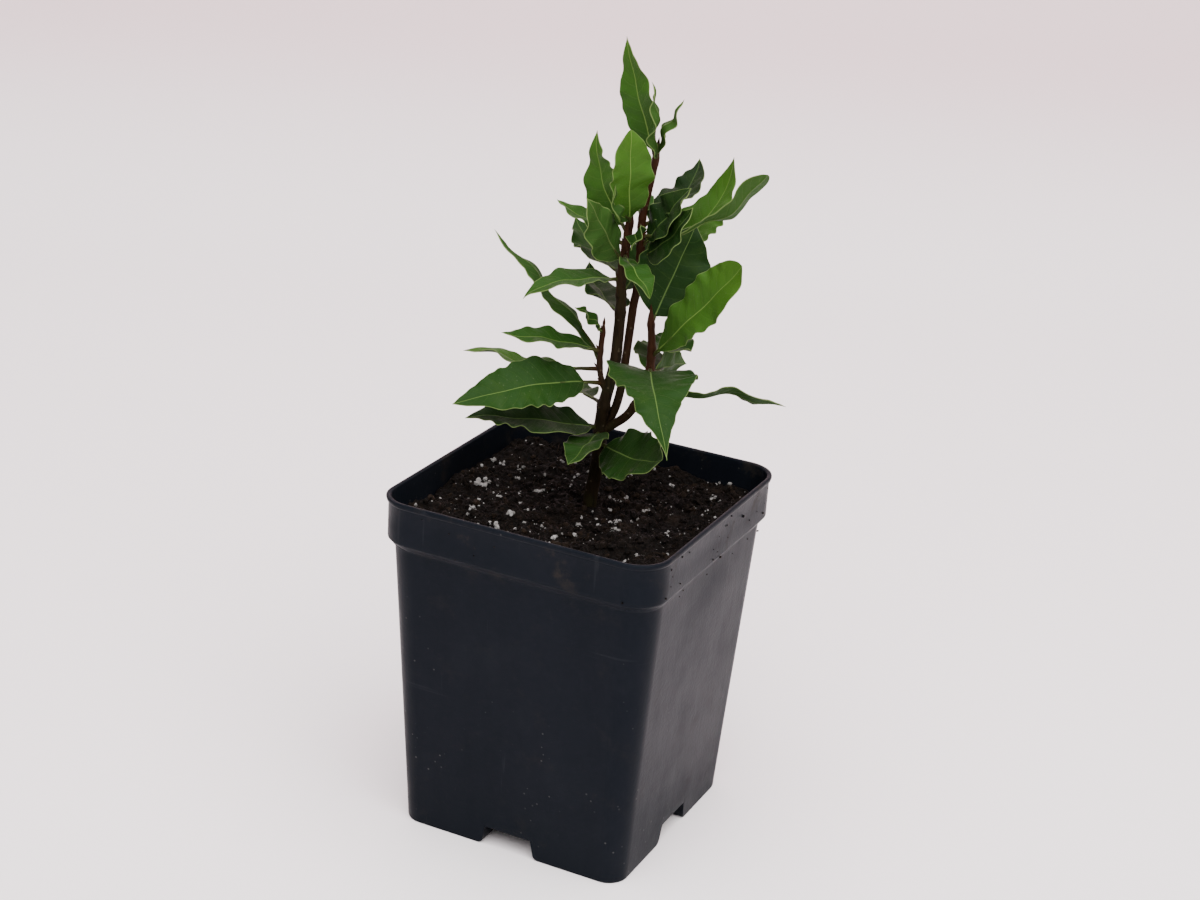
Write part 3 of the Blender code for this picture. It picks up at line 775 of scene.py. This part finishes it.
# %% [markdown]
# ## Stem finish
# Old wood is grey-brown with fine cracks. Higher up the bark is red-brown, and the stalks are
# green with a red foot. Noise drawn out along the height gives streaks and cracks that follow
# the grain.

# %% Stem recipe
def stem_finish():
    """Bark, red and stalk colours mixed by fresh, with pores and cracks over them."""
    r = Recipe("laurel_bark", roughness=0.6, specular=0.06)
    fresh = r.value("fresh")
    streak = r.noise(620.0, 5.0, 0.65, stretch=(1.0, 1.0, 0.22))
    broad = r.noise(110.0, 3.0)
    pores = r.ramp(r.cells(380.0, "F1"), 0.2, 0.08)
    crack = r.ramp(r.noise(950.0, 3.0, 0.6, stretch=(1.0, 1.0, 0.14)), 0.44, 0.34)
    bark = r.mix(streak, (0.0034, 0.0023, 0.0011), (0.0190, 0.0122, 0.0052))
    bark = r.mix(r.ramp(broad, 0.45, 0.62, 0.0, 0.65), bark, (0.0118, 0.0124, 0.0040))
    red = r.mix(streak, (0.0105, 0.0036, 0.0015), (0.038, 0.0135, 0.0055))
    stalk = r.mix(streak, (0.019, 0.024, 0.006), (0.034, 0.042, 0.011))
    colour = r.mix(r.ramp(fresh, 0.25, 0.8), bark, red)
    colour = r.mix(r.ramp(fresh, 0.95, 1.5), colour, stalk)
    colour = r.over(colour, pores, 0.55, (0.068, 0.054, 0.034))
    colour = r.over(colour, crack, r.ramp(fresh, 1.0, 0.5, 0.1, 0.6), (0.005, 0.0035, 0.0025))
    rough = r.ramp(fresh, 0.2, 1.2, 0.75, 0.45)
    relief = r.plus(streak, r.times(pores, 0.5))
    relief = r.minus(relief, r.times(crack, 0.6))
    return r.finish(colour, rough, r.bump(relief, 0.8, 0.0004))


bark_material = stem_finish()
for stem, piece in wood.items():
    dress(piece, bark_material, NODES[stem])
print("bark finish has", len(bark_material.node_tree.nodes), "nodes")

# %% [markdown]
# ## Peat
# Potting peat is a dark, damp mass of crumbs. Its top is a height map: a few low waves (the same
# as in the packed solid), plus layers of seeded noise from coarse to fine. A round-cornered grid
# is pulled from a square one, so its edge follows the pot's wall.

# %% Soil surface
SOIL_TOP = 110.0
SOIL_HALF = 47.75
SOIL_CORNER = 9.3
LATTICE = 64


def value_noise(x, y, cell, seed):
    """Random numbers on a lattice, blended with s^2 * (3 - 2 s) between lattice points."""
    table = np.random.default_rng(seed).random((LATTICE, LATTICE))
    gx, gy = x / cell, y / cell
    ix, iy = np.floor(gx).astype(int), np.floor(gy).astype(int)
    fx, fy = gx - ix, gy - iy
    fx, fy = fx * fx * (3 - 2 * fx), fy * fy * (3 - 2 * fy)
    left, right = ix % LATTICE, (ix + 1) % LATTICE
    low, high = iy % LATTICE, (iy + 1) % LATTICE
    near = table[left, low] * (1 - fx) + table[right, low] * fx
    far = table[left, high] * (1 - fx) + table[right, high] * fx
    return near * (1 - fy) + far * fy - 0.5


def soil_height(x, y):
    """110 + 1.1 * waves, flat near the trunk, plus noise of 7, 3.1, 1.5 and 0.8 mm cells.

    The 3.1 mm layer is 0.5 - 2 |noise|, which makes ridges like the edges of lumps.
    """
    waves_here = np.sin(x * 0.13 + 1.1) * np.cos(y * 0.17 - 0.4)
    waves_here = waves_here + 0.6 * np.sin(x * 0.31 - y * 0.23 + 2.0)
    away = 1.0 - np.exp(-((x - 1.4) ** 2 + (y - 2.2) ** 2) / 60.0)
    height = SOIL_TOP + 1.1 * waves_here * away + 1.5 * value_noise(x, y, 7.0, 11)
    height = height + 1.5 * (0.5 - np.abs(value_noise(x + 40, y, 3.1, 12)) * 2)
    return height + 1.1 * value_noise(x, y, 1.5, 13) + 0.6 * value_noise(x, y, 0.8, 14)


def square_to_round(a, b, half, radius):
    """Pull a square grid (-1..1) to a rounded square.

    Points past a corner's centre are scaled by max(cx, cy) / hypot(cx, cy) towards it.
    """
    x, y = a * half, b * half
    inner = half - radius
    cx, cy = np.clip(np.abs(x) - inner, 0, None), np.clip(np.abs(y) - inner, 0, None)
    reach = np.hypot(cx, cy) + 1e-9
    scale = np.where((cx > 0) & (cy > 0), np.maximum(cx, cy) / reach, 1.0)
    return np.sign(x) * (np.abs(x) - cx + cx * scale), np.sign(y) * (np.abs(y) - cy + cy * scale)


def square_grid(count):
    """Two arrays of places from -1 to 1, for a square grid."""
    line = np.linspace(-1, 1, count)
    return np.meshgrid(line, line, indexing="ij")


def soil_bed(count=300):
    """Height map of the soil, dipping 1.2 mm in a narrow band along the wall."""
    a, b = square_grid(count)
    x, y = square_to_round(a, b, SOIL_HALF, SOIL_CORNER)
    edge = np.clip((np.maximum(np.abs(a), np.abs(b)) - 0.975) / 0.025, 0, 1)
    z = soil_height(x, y) - 1.2 * edge
    return make_sheet("peat_bed", x, y, z, {"dip": z - SOIL_TOP}, turned=True)


peat = soil_bed()

# %% [markdown]
# ## Lumps
# Loose bits make soil read as soil. Each is a small ball whose points are pushed in and out by
# seeded numbers, then turned. Copies of a few modelled crumbs would do too, but the same ones
# would be seen again and again.

# %% Lump helpers
rng = np.random.default_rng(41)


def ball():
    """Points and triangles of a small ball, read back from a mesh as whole arrays."""
    form = bmesh.new()
    bmesh.ops.create_icosphere(form, subdivisions=2, radius=1.0)
    mesh = bpy.data.meshes.new("ball")
    form.to_mesh(mesh)
    form.free()
    points = np.empty(len(mesh.vertices) * 3)
    mesh.vertices.foreach_get("co", points)
    corners = np.empty(len(mesh.loops), np.int32)
    mesh.loops.foreach_get("vertex_index", corners)
    bpy.data.meshes.remove(mesh)
    return points.reshape(-1, 3), corners.reshape(-1, 3)


BALL, BALL_FACES = ball()


def lumps(centres, sizes, roughness, seed):
    """One rough ball for each centre: centre + turn(direction * size * (1 + roughness * random))."""
    r = np.random.default_rng(seed)
    n = len(centres)
    push = 1 + roughness * (r.random((n, len(BALL), 1)) - 0.5) * 2
    turn = np.linalg.qr(r.normal(size=(n, 3, 3)))[0]
    turn = turn * np.sign(np.linalg.det(turn))[:, None, None]
    shape = BALL[None] * push * np.asarray(sizes)[:, None, :]
    points = centres[:, None] + np.einsum("nij,nkj->nki", turn, shape)
    faces = (BALL_FACES[None] + (np.arange(n) * len(BALL))[:, None, None]).reshape(-1, 3)
    return points, faces, {"tint": np.repeat(r.random(n), len(BALL))}


def on_soil(x, y, sink):
    """Points on the soil's surface, sunk into it by the given depth."""
    return np.stack([x, y, soil_height(x, y) - sink], -1)


def scatter(count, reach, half):
    """Seeded places on the round-cornered soil, up to reach times half from its middle."""
    a, b = rng.uniform(-reach, reach, (2, count))
    return square_to_round(a, b, half, SOIL_CORNER)


def from_trunk(x, y, middle):
    """Distance from the trunk, whose middle is at (middle, 2.2) in the soil."""
    return np.hypot(x - middle, y - 2.2)


print("one lump has", len(BALL_FACES), "faces")

# %% [markdown]
# ## Crumbs
# Most crumbs are fine and a few are coarse, which a random number to the third power gives. They
# keep clear of the trunk. A few bits stuck to the pot where it was filled, most of them on the
# right.

# %% Crumbs
def crumbs(count=1500):
    """Sizes 0.35 + 1.25 * random^3, raised from the soil by 0.15 of their size."""
    x, y = scatter(count, 0.975, 47.0)
    size = 0.35 + 1.25 * rng.random(count) ** 3
    keep = from_trunk(x, y, 1.7) > 3.2
    sizes = size[:, None] * rng.uniform(0.6, 1.1, (count, 3))
    places = on_soil(x, y, -0.15 * size)
    return make_mesh("peat_crumbs", *lumps(places[keep], sizes[keep], 0.3, 5), smooth=False)


def stuck_crumbs(count=46, face_at=49.42):
    """Seeded places on the front and right faces: level = 118 - 17 * random^1.4."""
    place = rng.uniform(-1, 1, count) * 40
    level = 118.0 - 17.0 * rng.random(count) ** 1.4
    size = 0.18 + 0.34 * rng.random(count) ** 2
    right = rng.random(count) < 0.75
    x = np.where(right, face_at, place)
    y = np.where(right, place, -face_at)
    sizes = size[:, None] * rng.uniform(0.5, 1.1, (count, 3))
    places = np.stack([x, y, level], -1)
    return make_mesh("stuck_crumbs", *lumps(places, sizes, 0.3, 21), smooth=False)


crumb_piece = crumbs()
stuck_piece = stuck_crumbs()

# %% [markdown]
# ## White grains
# The white grains are a popped mineral that keeps soil airy. They look like popcorn, so each big
# one is several lumps pressed together. The large ones stand where the photograph shows them, as
# x, y and size, and the fine ones are scattered.

# %% White grains
GRAIN_GROUPS = [
    (-36, -3, 3.0), (-18, -31, 3.2), (-15, -21, 2.0), (-29, -21, 1.8), (-42, 21, 1.7),
    (-37, 41, 1.5), (-45, 20, 1.4), (-33, 17, 1.6), (-12, 20, 1.2), (5, -26, 2.0),
    (6, -13, 1.7), (15, -5, 1.6), (18, -12, 1.5), (9, 14, 1.8), (6, 12, 1.6),
    (33, -24, 1.8), (29, -29, 1.6), (33, -4, 1.6), (34, 31, 1.8), (29, 48, 1.2),
    (33, 46, 1.3), (43, 22, 1.5), (18, 32, 1.5), (32, 19, 1.3), (-18, 4, 1.6),
    (-8, -37, 1.5), (-26, -10, 1.2), (20, 8, 1.4), (-24, 30, 1.5), (-6, 38, 1.4)]


def grains():
    """Groups of 3 + 2.2 * size lumps close together, and 330 single specks between them."""
    centres = []
    sizes = []
    for x, y, size in GRAIN_GROUPS:
        count = 3 + int(size * 2.2)
        offset = rng.normal(0, 0.55 * size, (count, 2))
        part = np.minimum(size * rng.uniform(0.2, 0.48, count), 0.42 + 0.14 * size)
        px, py = np.clip(x + offset[:, 0], -46, 46), np.clip(y + offset[:, 1], -46, 46)
        centres.append(on_soil(px, py, -0.35 * part))
        sizes.append(part)
    specks = 330
    x, y = scatter(specks, 0.96, 47.0)
    part = 0.16 + 0.5 * rng.random(specks) ** 3
    centres.append(on_soil(x, y, -0.3 * part))
    sizes.append(part)
    centres = np.vstack(centres)
    sizes = np.concatenate(sizes)[:, None] * rng.uniform(0.75, 1.2, (len(centres), 3))
    keep = from_trunk(centres[:, 0], centres[:, 1], 1.6) > 3.4
    return make_mesh("mineral_grains", *lumps(centres[keep], sizes[keep], 0.36, 9), smooth=False)


grain_piece = grains()

# %% [markdown]
# ## Fibres
# Peat is full of hair-thin roots. Each is a bent tube with four sides, which is enough at this
# size. One end is lifted, so some cast a small shadow.

# %% Fibres
def fibre(x, y):
    """Line of 2.5 to 10 mm with a bow of size * (1 - 4 s^2), or nothing at the trunk."""
    length = rng.uniform(2.5, 10.0)
    heading = rng.uniform(0, 2 * np.pi)
    s = np.linspace(-0.5, 0.5, 7)
    bow = rng.normal(0, 0.18) * length * (0.25 - s ** 2) * 4
    px = np.clip(x + s * length * math.cos(heading) - bow * math.sin(heading), -47, 47)
    py = np.clip(y + s * length * math.sin(heading) + bow * math.cos(heading), -47, 47)
    if from_trunk(px, py, 1.6).min() < 3.4:
        return None
    pz = soil_height(px, py).mean() + 0.45 + rng.uniform(-0.1, 0.5) + s * rng.normal(0, 1.0)
    radius = rng.uniform(0.07, 0.2) * (1.0 - 0.5 * np.abs(s * 2) ** 3)
    return tube(np.stack([px, py, pz], -1), radius, 4, tint=rng.random())


found = [fibre(x, y) for x, y in zip(*scatter(420, 0.93, 46.0))]
kept = [part for part in found if part is not None]
fibre_piece = make_mesh("peat_fibres", *join_parts(kept), closed=True)

# %% [markdown]
# ## Soil finishes
# Wet peat is almost black, with brown crumbs and tiny wet glints, so its roughness varies.
# The grains are chalky white with grey pores. The bed is painted darker the lower it lies, as
# painted shade in its dips and along the wall, and the crumbs get a tint of their own, so they
# stand apart.

# %% Soil recipes
def peat_finish(name, by_tint):
    """Dark to brown by fine grit, browner patches, then tint for bits or depth for the bed."""
    r = Recipe(name, roughness=0.85, specular=0.07)
    grit = r.noise(1300.0, 5.0, 0.7)
    patch = r.noise(140.0, 4.0, 0.6)
    colour = r.mix(r.ramp(grit, 0.35, 0.72), (0.0010, 0.0007, 0.0006), (0.0068, 0.0044, 0.0031))
    colour = r.mix(r.ramp(patch, 0.5, 0.72, 0.0, 0.5), colour, (0.014, 0.0088, 0.0055))
    if by_tint:
        brown = r.ramp(r.value("tint"), 0.55, 1.0, 0.0, 0.6)
        colour = r.mix(brown, colour, (0.019, 0.0122, 0.0076))
    else:
        # painted shade: the lower the bed lies, in its dips and along the wall, the darker it is
        dip_shade = r.ramp(r.value("dip"), -0.5, -2.0, 0.0, 0.7)
        colour = r.mix(dip_shade, colour, (0.0014, 0.001, 0.0008))
    rough = r.ramp(r.noise(800.0, 2.0), 0.38, 0.62, 0.55, 0.95)
    return r.finish(colour, rough, r.bump(grit, 0.9, 0.0006))


def grain_finish():
    """White to light grey by tint, with grey pores."""
    r = Recipe("white_mineral", roughness=0.8, specular=0.15)
    pores = r.ramp(r.cells(1500.0, "F1"), 0.42, 0.1)
    colour = r.mix(r.value("tint"), (0.15, 0.142, 0.135), (0.27, 0.26, 0.255))
    colour = r.over(colour, pores, 0.5, (0.10, 0.09, 0.08))
    return r.finish(colour, normal=r.bump(r.noise(2200.0, 3.0), 0.8, 0.0003))


crumb_material = peat_finish("peat_crumb", True)
soil_pieces = {peat: peat_finish("peat_surface", False), crumb_piece: crumb_material,
               fibre_piece: peat_finish("peat_fibre", True), stuck_piece: crumb_material,
               grain_piece: grain_finish()}
for piece, material in soil_pieces.items():
    dress(piece, material, "soil")
print(len(soil_pieces), "soil pieces dressed")

# %% [markdown]
# ## The pot's section
# The pot is one sheet of moulded plastic about 1.2 mm thick. Its section, as (half width,
# height), is carried round a rounded square: foot, tapered wall, small slanted step, straight
# band, a bead at the rim, and back down inside. The middle of each side is lifted into an arch,
# so the pot stands on four corner feet. The arch is a lift of the wall's lowest points, which
# keeps it all in one unbroken skin.

# %% Section and arch
POT_PROFILE = [
    (40.75, 0.0), (41.02, 0.18), (41.12, 0.5), (41.16, 0.9), (41.6, 8.2), (42.2, 18.0), (43.45, 38.0),
    (44.7, 58.0), (45.95, 78.0), (47.2, 98.0), (47.45, 101.6), (47.52, 102.15), (47.75, 102.45),
    (49.05, 104.3), (49.27, 104.6), (49.32, 105.1), (49.38, 110.0), (49.47, 116.9), (49.6, 117.2),
    (49.86, 117.45), (49.98, 117.9), (49.99, 118.4), (49.85, 118.8), (49.6, 118.98), (49.2, 119.0),
    (48.75, 118.92), (48.52, 118.7), (48.44, 118.3), (48.35, 114.0), (48.2, 108.0), (47.9, 103.0),
    (46.1, 100.0), (40.6, 12.0), (40.3, 9.0)]
# Numbers of the section's points where the wall starts and ends, the bead starts, the
# outside ends, and the inside starts.
FOOT, WALL_TOP, BEAD, OUTSIDE_END, INSIDE = 4, 9, 20, 22, 25
# Each face leans out by this much for each millimetre of height.
TAPER = 0.0625


def notch(s):
    """Lift of the arch at a distance s from the side's middle.

    Inside 8.6 mm it is 7 mm high; a steep side follows, then a foot rounded by 2.2 mm.
    """
    into = np.clip(11.6 - np.abs(s), 0, 2.2)
    rounded = 2.2 - np.sqrt(2.2 ** 2 - into ** 2)
    steep = 4.8 * np.clip((9.4 - np.abs(s)) / 0.8, 0, 1)
    return rounded + steep


def corner_radius(z):
    """7 mm at the floor, growing evenly to 11.4 mm at the rim."""
    return 7.0 + 4.4 * np.clip(z, 0, 119) / 119


print("the arch is", notch(0.0), "mm high")

# %% [markdown]
# ## Rings round the pot
# Each level of the pot is one ring of points. The arch needs many of them close together, and
# they must stay above each other from ring to ring. So only the points near the corners are
# spread out as the pot widens.

# %% Rings
def side_marks():
    """Places along one side, close together at the arch, and angles round one corner."""
    flat = np.concatenate([np.linspace(-1, 1, 40) * 34.0, np.linspace(-12.5, 12.5, 71)])
    return np.unique(flat), np.linspace(0, np.pi / 2, 12)


def rounded_ring(half, z, inset):
    """One side and its quarter circle, turned into place four times.

    Along a side, place = mark up to 13 mm, then blended to the straight part's length.
    """
    flat, turn = side_marks()
    radius = corner_radius(z) - inset
    straight = (half - radius)[:, None]
    near = np.clip((np.abs(flat) - 13.0) / 21.0, 0, 1)[None]
    along = flat[None] * (1 - near) + np.sign(flat)[None] * near * straight
    x = np.broadcast_to(half[:, None], along.shape)
    corner_x = straight + radius[:, None] * np.cos(turn)[None]
    corner_y = straight + radius[:, None] * np.sin(turn)[None]
    one = np.stack([np.hstack([x, corner_x[:, 1:-1]]), np.hstack([along, corner_y[:, 1:-1]])], -1)
    rings = []
    for quarter in range(4):
        c, s = round(math.cos(quarter * math.pi / 2)), round(math.sin(quarter * math.pi / 2))
        turned = np.stack([one[..., 0] * c - one[..., 1] * s, one[..., 0] * s + one[..., 1] * c], -1)
        rings.append(turned)
    return np.concatenate(rings, 1)


def push_face(x, y, amount):
    """Move points outwards, across the face they are on, by the given amount."""
    on_x = np.abs(x) > np.abs(y)
    return x + np.sign(x) * amount * on_x, y + np.sign(y) * amount * ~on_x


print("a ring has", 4 * (len(side_marks()[0]) + 10), "points")

# %% [markdown]
# ## The pot's wall
# Thin moulded walls sink in a little between the corners as they cool. That bow is slight, but
# without it the faces look like cut board.

# %% Wall
def pot_wall():
    """Ring(half(z)); z lifted by notch * (1 - z / 14) outside, faces bowed in by up to 0.16 mm."""
    profile = np.array(POT_PROFILE)
    t = path_length(profile)
    marks = np.unique(np.concatenate([t, np.linspace(t[FOOT], t[WALL_TOP], 40)]))
    half, z = np.interp(marks, t, profile[:, 0]), np.interp(marks, t, profile[:, 1])
    inset = 1.3 * np.clip((marks - t[BEAD]) / (t[INSIDE] - t[BEAD]), 0, 1)
    ring = rounded_ring(half, z, inset)
    x, y = ring[..., 0], ring[..., 1]
    level = np.repeat(z[:, None], x.shape[1], 1)
    outer = (marks < t[OUTSIDE_END])[:, None]
    from_middle = np.minimum(np.abs(x), np.abs(y))
    across = np.where(np.abs(x) > np.abs(y), y, x)
    lift = notch(across) * (from_middle < 13) * np.clip(1 - level / 14.0, 0, 1) * outer
    level = level + lift
    x, y = push_face(x, y, TAPER * lift)
    from_middle = np.minimum(np.abs(x), np.abs(y))
    bow = 0.16 * np.sin(level / 95.0 * np.pi) * (1 - (from_middle / 42.0) ** 2).clip(0, 1)
    x, y = push_face(x, y, -bow * (level < 100) * outer)
    return make_sheet("pot_wall", x, y, level, {"height_mm": level}, wrap=True)


wall = pot_wall()

# %% [markdown]
# ## The underside
# From below, a channel runs between the feet in both directions, and five drain holes let water
# out. It is a height map with the same arch both ways. For the holes, the nearest points are
# drawn onto a circle and the faces inside are left out, which gives round edges without cutting.

# %% Underside
UNDER_HALF = 40.74
DRAINS = [(0, 0), (29, 0), (-29, 0), (0, 29), (0, -29)]
DRAIN_RADIUS = 3.5


def pot_underside(count=221):
    """z = max(notch(x), notch(y)) on a rounded square, widened at its rim to meet the wall."""
    a, b = square_grid(count)
    x, y = square_to_round(a, b, UNDER_HALF, 7.0)
    for cx, cy in DRAINS:
        far = np.hypot(x - cx, y - cy)
        near = np.abs(far - DRAIN_RADIUS) < 0.26
        scale = np.where(near, DRAIN_RADIUS / np.maximum(far, 1e-6), 1.0)
        x, y = cx + (x - cx) * scale, cy + (y - cy) * scale
    z = np.maximum(notch(x), notch(y))
    rim = np.clip((np.maximum(np.abs(x), np.abs(y)) - 38) / 2.7, 0, 1)
    widen = TAPER * z * rim / UNDER_HALF
    on_x = np.abs(x) > np.abs(y)
    x, y = x * (1 + widen * on_x), y * (1 + widen * ~on_x)
    points = np.stack([x, y, z], -1).reshape(-1, 3)
    faces = grid_faces(count, count)
    middle = points[faces].mean(1)
    keep = np.ones(len(faces), bool)
    for cx, cy in DRAINS:
        keep &= np.hypot(middle[:, 0] - cx, middle[:, 1] - cy) > 3.42
    return make_mesh("pot_underside", points, faces[keep], {"height_mm": points[:, 2]})


underside = pot_underside()

# %% [markdown]
# ## Drain holes
# Each hole has a short rim as deep as the plastic, and dark soil shows inside it. Both are
# stacks of circles, one upright and one flat.

# %% Drain rims and soil
CIRCLE = 40
RIM_RADIUS = np.array([DRAIN_RADIUS, 3.42, 3.42, DRAIN_RADIUS])
RIM_LEVEL = np.array([6.98, 7.1, 8.2, 8.3])
SOIL_RADIUS = np.linspace(3.6, 0.05, 12)
SOIL_LEVEL = np.full(12, 8.25)


def circles(hole, radius, level, rough, key, zero):
    """x = hole + radius * cos(a), y = hole + radius * sin(a), z = level + rough * noise."""
    angle = np.linspace(0, 2 * np.pi, CIRCLE, endpoint=False)[None]
    x = hole[0] + radius[:, None] * np.cos(angle)
    y = hole[1] + radius[:, None] * np.sin(angle)
    z = level[:, None] + rough * value_noise(x + 30, y + 30, 0.9, 3)
    faces = grid_faces(len(radius), CIRCLE, wrap=True)[:, ::-1]
    return np.stack([x, y, z], -1), faces, {key: z - zero}


rim_parts = [circles(hole, RIM_RADIUS, RIM_LEVEL, 0.0, "height_mm", 0.0) for hole in DRAINS]
soil_parts = [circles(hole, SOIL_RADIUS, SOIL_LEVEL, 0.7, "dip", 8.6) for hole in DRAINS]
rims = make_mesh("drain_rims", *join_parts(rim_parts))
drain_soil = make_mesh("peat_in_drains", *join_parts(soil_parts))

# %% [markdown]
# ## Pot finish
# Black moulded plastic is not pure black. It is satin and slightly blue, with an orange-peel
# surface, faint upright flow marks, rubbed patches, thin scratches and dust. Near the rim, where
# soil was spilt, brown smears cover it.

# %% Pot recipe
def pot_finish():
    """Blue-black by flow marks, then rubbing, smears, scratches and dust over it."""
    r = Recipe("black_nursery_plastic", roughness=0.42, specular=0.035)
    r.shader.inputs["Specular Tint"].default_value = (0.72, 0.86, 1.0, 1.0)
    pale_scratch = (0.022, 0.023, 0.026)
    peel = r.noise(900.0, 3.0)
    flow = r.noise(60.0, 4.0, 0.6, stretch=(1.0, 1.0, 0.12))
    rub = r.noise(28.0, 5.0, 0.65)
    scratch = r.ramp(r.noise(330.0, 2.0, 0.5, stretch=(1.0, 1.0, 0.06)), 0.70, 0.76)
    sideways = r.ramp(r.noise(300.0, 2.0, 0.5, stretch=(0.05, 0.05, 1.0)), 0.71, 0.77)
    dust = r.ramp(r.cells(300.0, "F1"), 0.13, 0.06)
    dust = r.times(dust, r.ramp(r.noise(35.0, 2.0), 0.5, 0.66))
    high = r.ramp(r.value("height_mm"), 98.0, 112.0)
    smear = r.ramp(r.noise(85.0, 5.0, 0.7), 0.54, 0.74)
    smear = r.times(smear, r.maths("MULTIPLY_ADD", high, 0.5, 0.12))
    colour = r.mix(flow, (0.0036, 0.0046, 0.0068), (0.0060, 0.0073, 0.0103))
    colour = r.mix(r.ramp(rub, 0.5, 0.75, 0.0, 0.4), colour, (0.0085, 0.0098, 0.0125))
    colour = r.mix(smear, colour, (0.026, 0.021, 0.0165))
    colour = r.over(colour, scratch, 0.22, pale_scratch)
    colour = r.over(colour, sideways, 0.2, pale_scratch)
    colour = r.over(colour, dust, 0.5, (0.07, 0.068, 0.064))
    rough = r.plus(r.ramp(rub, 0.3, 0.8, 0.34, 0.5), r.times(smear, 0.3))
    relief = r.plus(r.times(peel, 0.35), r.times(flow, 0.8))
    return r.finish(colour, rough, r.bump(relief, 0.35, 0.0004))


pot_material = pot_finish()
for piece in (wall, underside, rims):
    dress(piece, pot_material, "pot")
dress(drain_soil, peat_finish("peat_below", False), "soil")
print("pot finish has", len(pot_material.node_tree.nodes), "nodes")

# %% [markdown]
# ## Floor
# The plant stands on a pale sheet that curves up behind it, so no horizon is seen. The sheet is
# very wide and long, to keep its edges out of view from every side.

# %% Stage
FAR = 15000
FLOOR_END = 550
CURVE = 500
SIDES = 9
BACKWARDS = unit(np.array([-0.3964, 0.8406]))


def sweep():
    """Flat floor, a quarter circle of 0.5 m and an upright wall, as one profile.

    It lies square to the camera's view and is carried 15 m to each side.
    """
    turn = np.linspace(0, np.pi / 2, 24)
    flat = -FAR + (FAR + FLOOR_END) * np.linspace(0, 1, 24) ** 0.5
    wall_at = np.full(8, FLOOR_END + CURVE)
    back = np.concatenate([flat, FLOOR_END + CURVE * np.sin(turn[1:]), wall_at])
    up = np.concatenate([np.zeros(24), CURVE - CURVE * np.cos(turn[1:]), np.linspace(600, 2600, 8)])
    side = np.linspace(-FAR, FAR, SIDES)
    x = back[:, None] * BACKWARDS[0] + side[None] * BACKWARDS[1]
    y = back[:, None] * BACKWARDS[1] - side[None] * BACKWARDS[0]
    z = np.repeat(up[:, None], SIDES, 1)
    return make_sheet("pale_sweep", x, y, z, turned=True)


def stage_finish():
    """Nearly white on the floor, turning a little pink within 0.11 m of height."""
    r = Recipe("pale_paper", roughness=0.9, specular=0.1)
    height = add_node(r.tree, "ShaderNodeSeparateXYZ", {0: r.place()}, 2)
    colour = r.mix(r.noise(6.0, 3.0), (0.96, 0.895, 0.915), (0.98, 0.92, 0.935))
    colour = r.mix(r.ramp(height, 0.0, 0.11), colour, (0.82, 0.64, 0.67))
    return r.finish(colour)


floor = sweep()
floor.data.materials.append(stage_finish())
floor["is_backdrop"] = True

# %% [markdown]
# ## Light
# The photograph has soft light from above and hardly a shadow. One large panel high in front
# gives most of it, a small one on the right lifts that side of the pot, and a dim room fills the
# rest. The room is darkest near its horizon, so that dark leaves don't look hazy.

# %% Panels and room
def panel(name, place, target, size, power, colour):
    """Square light of the given size, in metres and watts, aimed at a point."""
    light = bpy.data.lights.new(name, "AREA")
    light.shape = "RECTANGLE"
    light.size = size
    light.size_y = size
    light.energy = power
    light.color = colour
    item = put_in_scene(name, light)
    item.location = place
    item.rotation_euler = (Vector(target) - Vector(place)).to_track_quat("-Z", "Y").to_euler()
    print(name, "shines with", power, "W")


def soft_room():
    """Room light of strength 0.12 level with the floor, up to 0.75 from 0.5 upwards."""
    world = bpy.data.worlds.new("soft_room")
    world.use_nodes = True
    sky = world.node_tree
    background = sky.nodes["Background"]
    direction = add_node(sky, "ShaderNodeTexCoord", {}, "Generated")
    rise = add_node(sky, "ShaderNodeSeparateXYZ", {0: direction}, 2)
    strengths = {"Value": rise, "From Min": 0.0, "From Max": 0.5, "To Min": 0.12, "To Max": 0.75}
    strength = add_node(sky, "ShaderNodeMapRange", strengths)
    feed(sky, background.inputs["Strength"], strength)
    feed(sky, background.inputs["Color"], (1.0, 0.985, 0.985))
    return world


panel("right_panel", (1.3, -0.2, 1.0), (0, 0, 0.12), 1.2, 6.0, (1.0, 0.98, 0.97))
panel("top_panel", (0.35, -0.5, 1.6), (0, 0.1, 0.1), 2.2, 88.0, (1.0, 0.99, 0.985))
bpy.context.scene.world = soft_room()

# %% [markdown]
# ## Camera
# The camera stands where the photograph was taken from, looking down a little, with a short
# telephoto lens. Its place was solved from the pot's edges. The matrix holds its right, up and
# backward arrows and its position in metres.

# %% Camera
lens = bpy.data.cameras.new("front_camera")
lens.lens = 66.42
lens.sensor_width = 36.0
lens.clip_start = 0.01
camera = put_in_scene("front_camera", lens)
camera.matrix_world = Matrix(((0.892, -0.2172, 0.3964, 0.2905), (0.4477, 0.305, -0.8406, -0.6053),
                              (0.0617, 0.9273, 0.3693, 0.3977), (0, 0, 0, 1)))
bpy.context.scene.camera = camera
print("camera at", [round(number, 3) for number in camera.matrix_world.translation])

# %% Measure and finish
seen_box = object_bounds()
boxes = {"cad": cad_box, "visual": seen_box}
boxes = {name: [list(map(float, corner)) for corner in box] for name, box in boxes.items()}
print("cad box", cad_box)
print("visual box", seen_box)
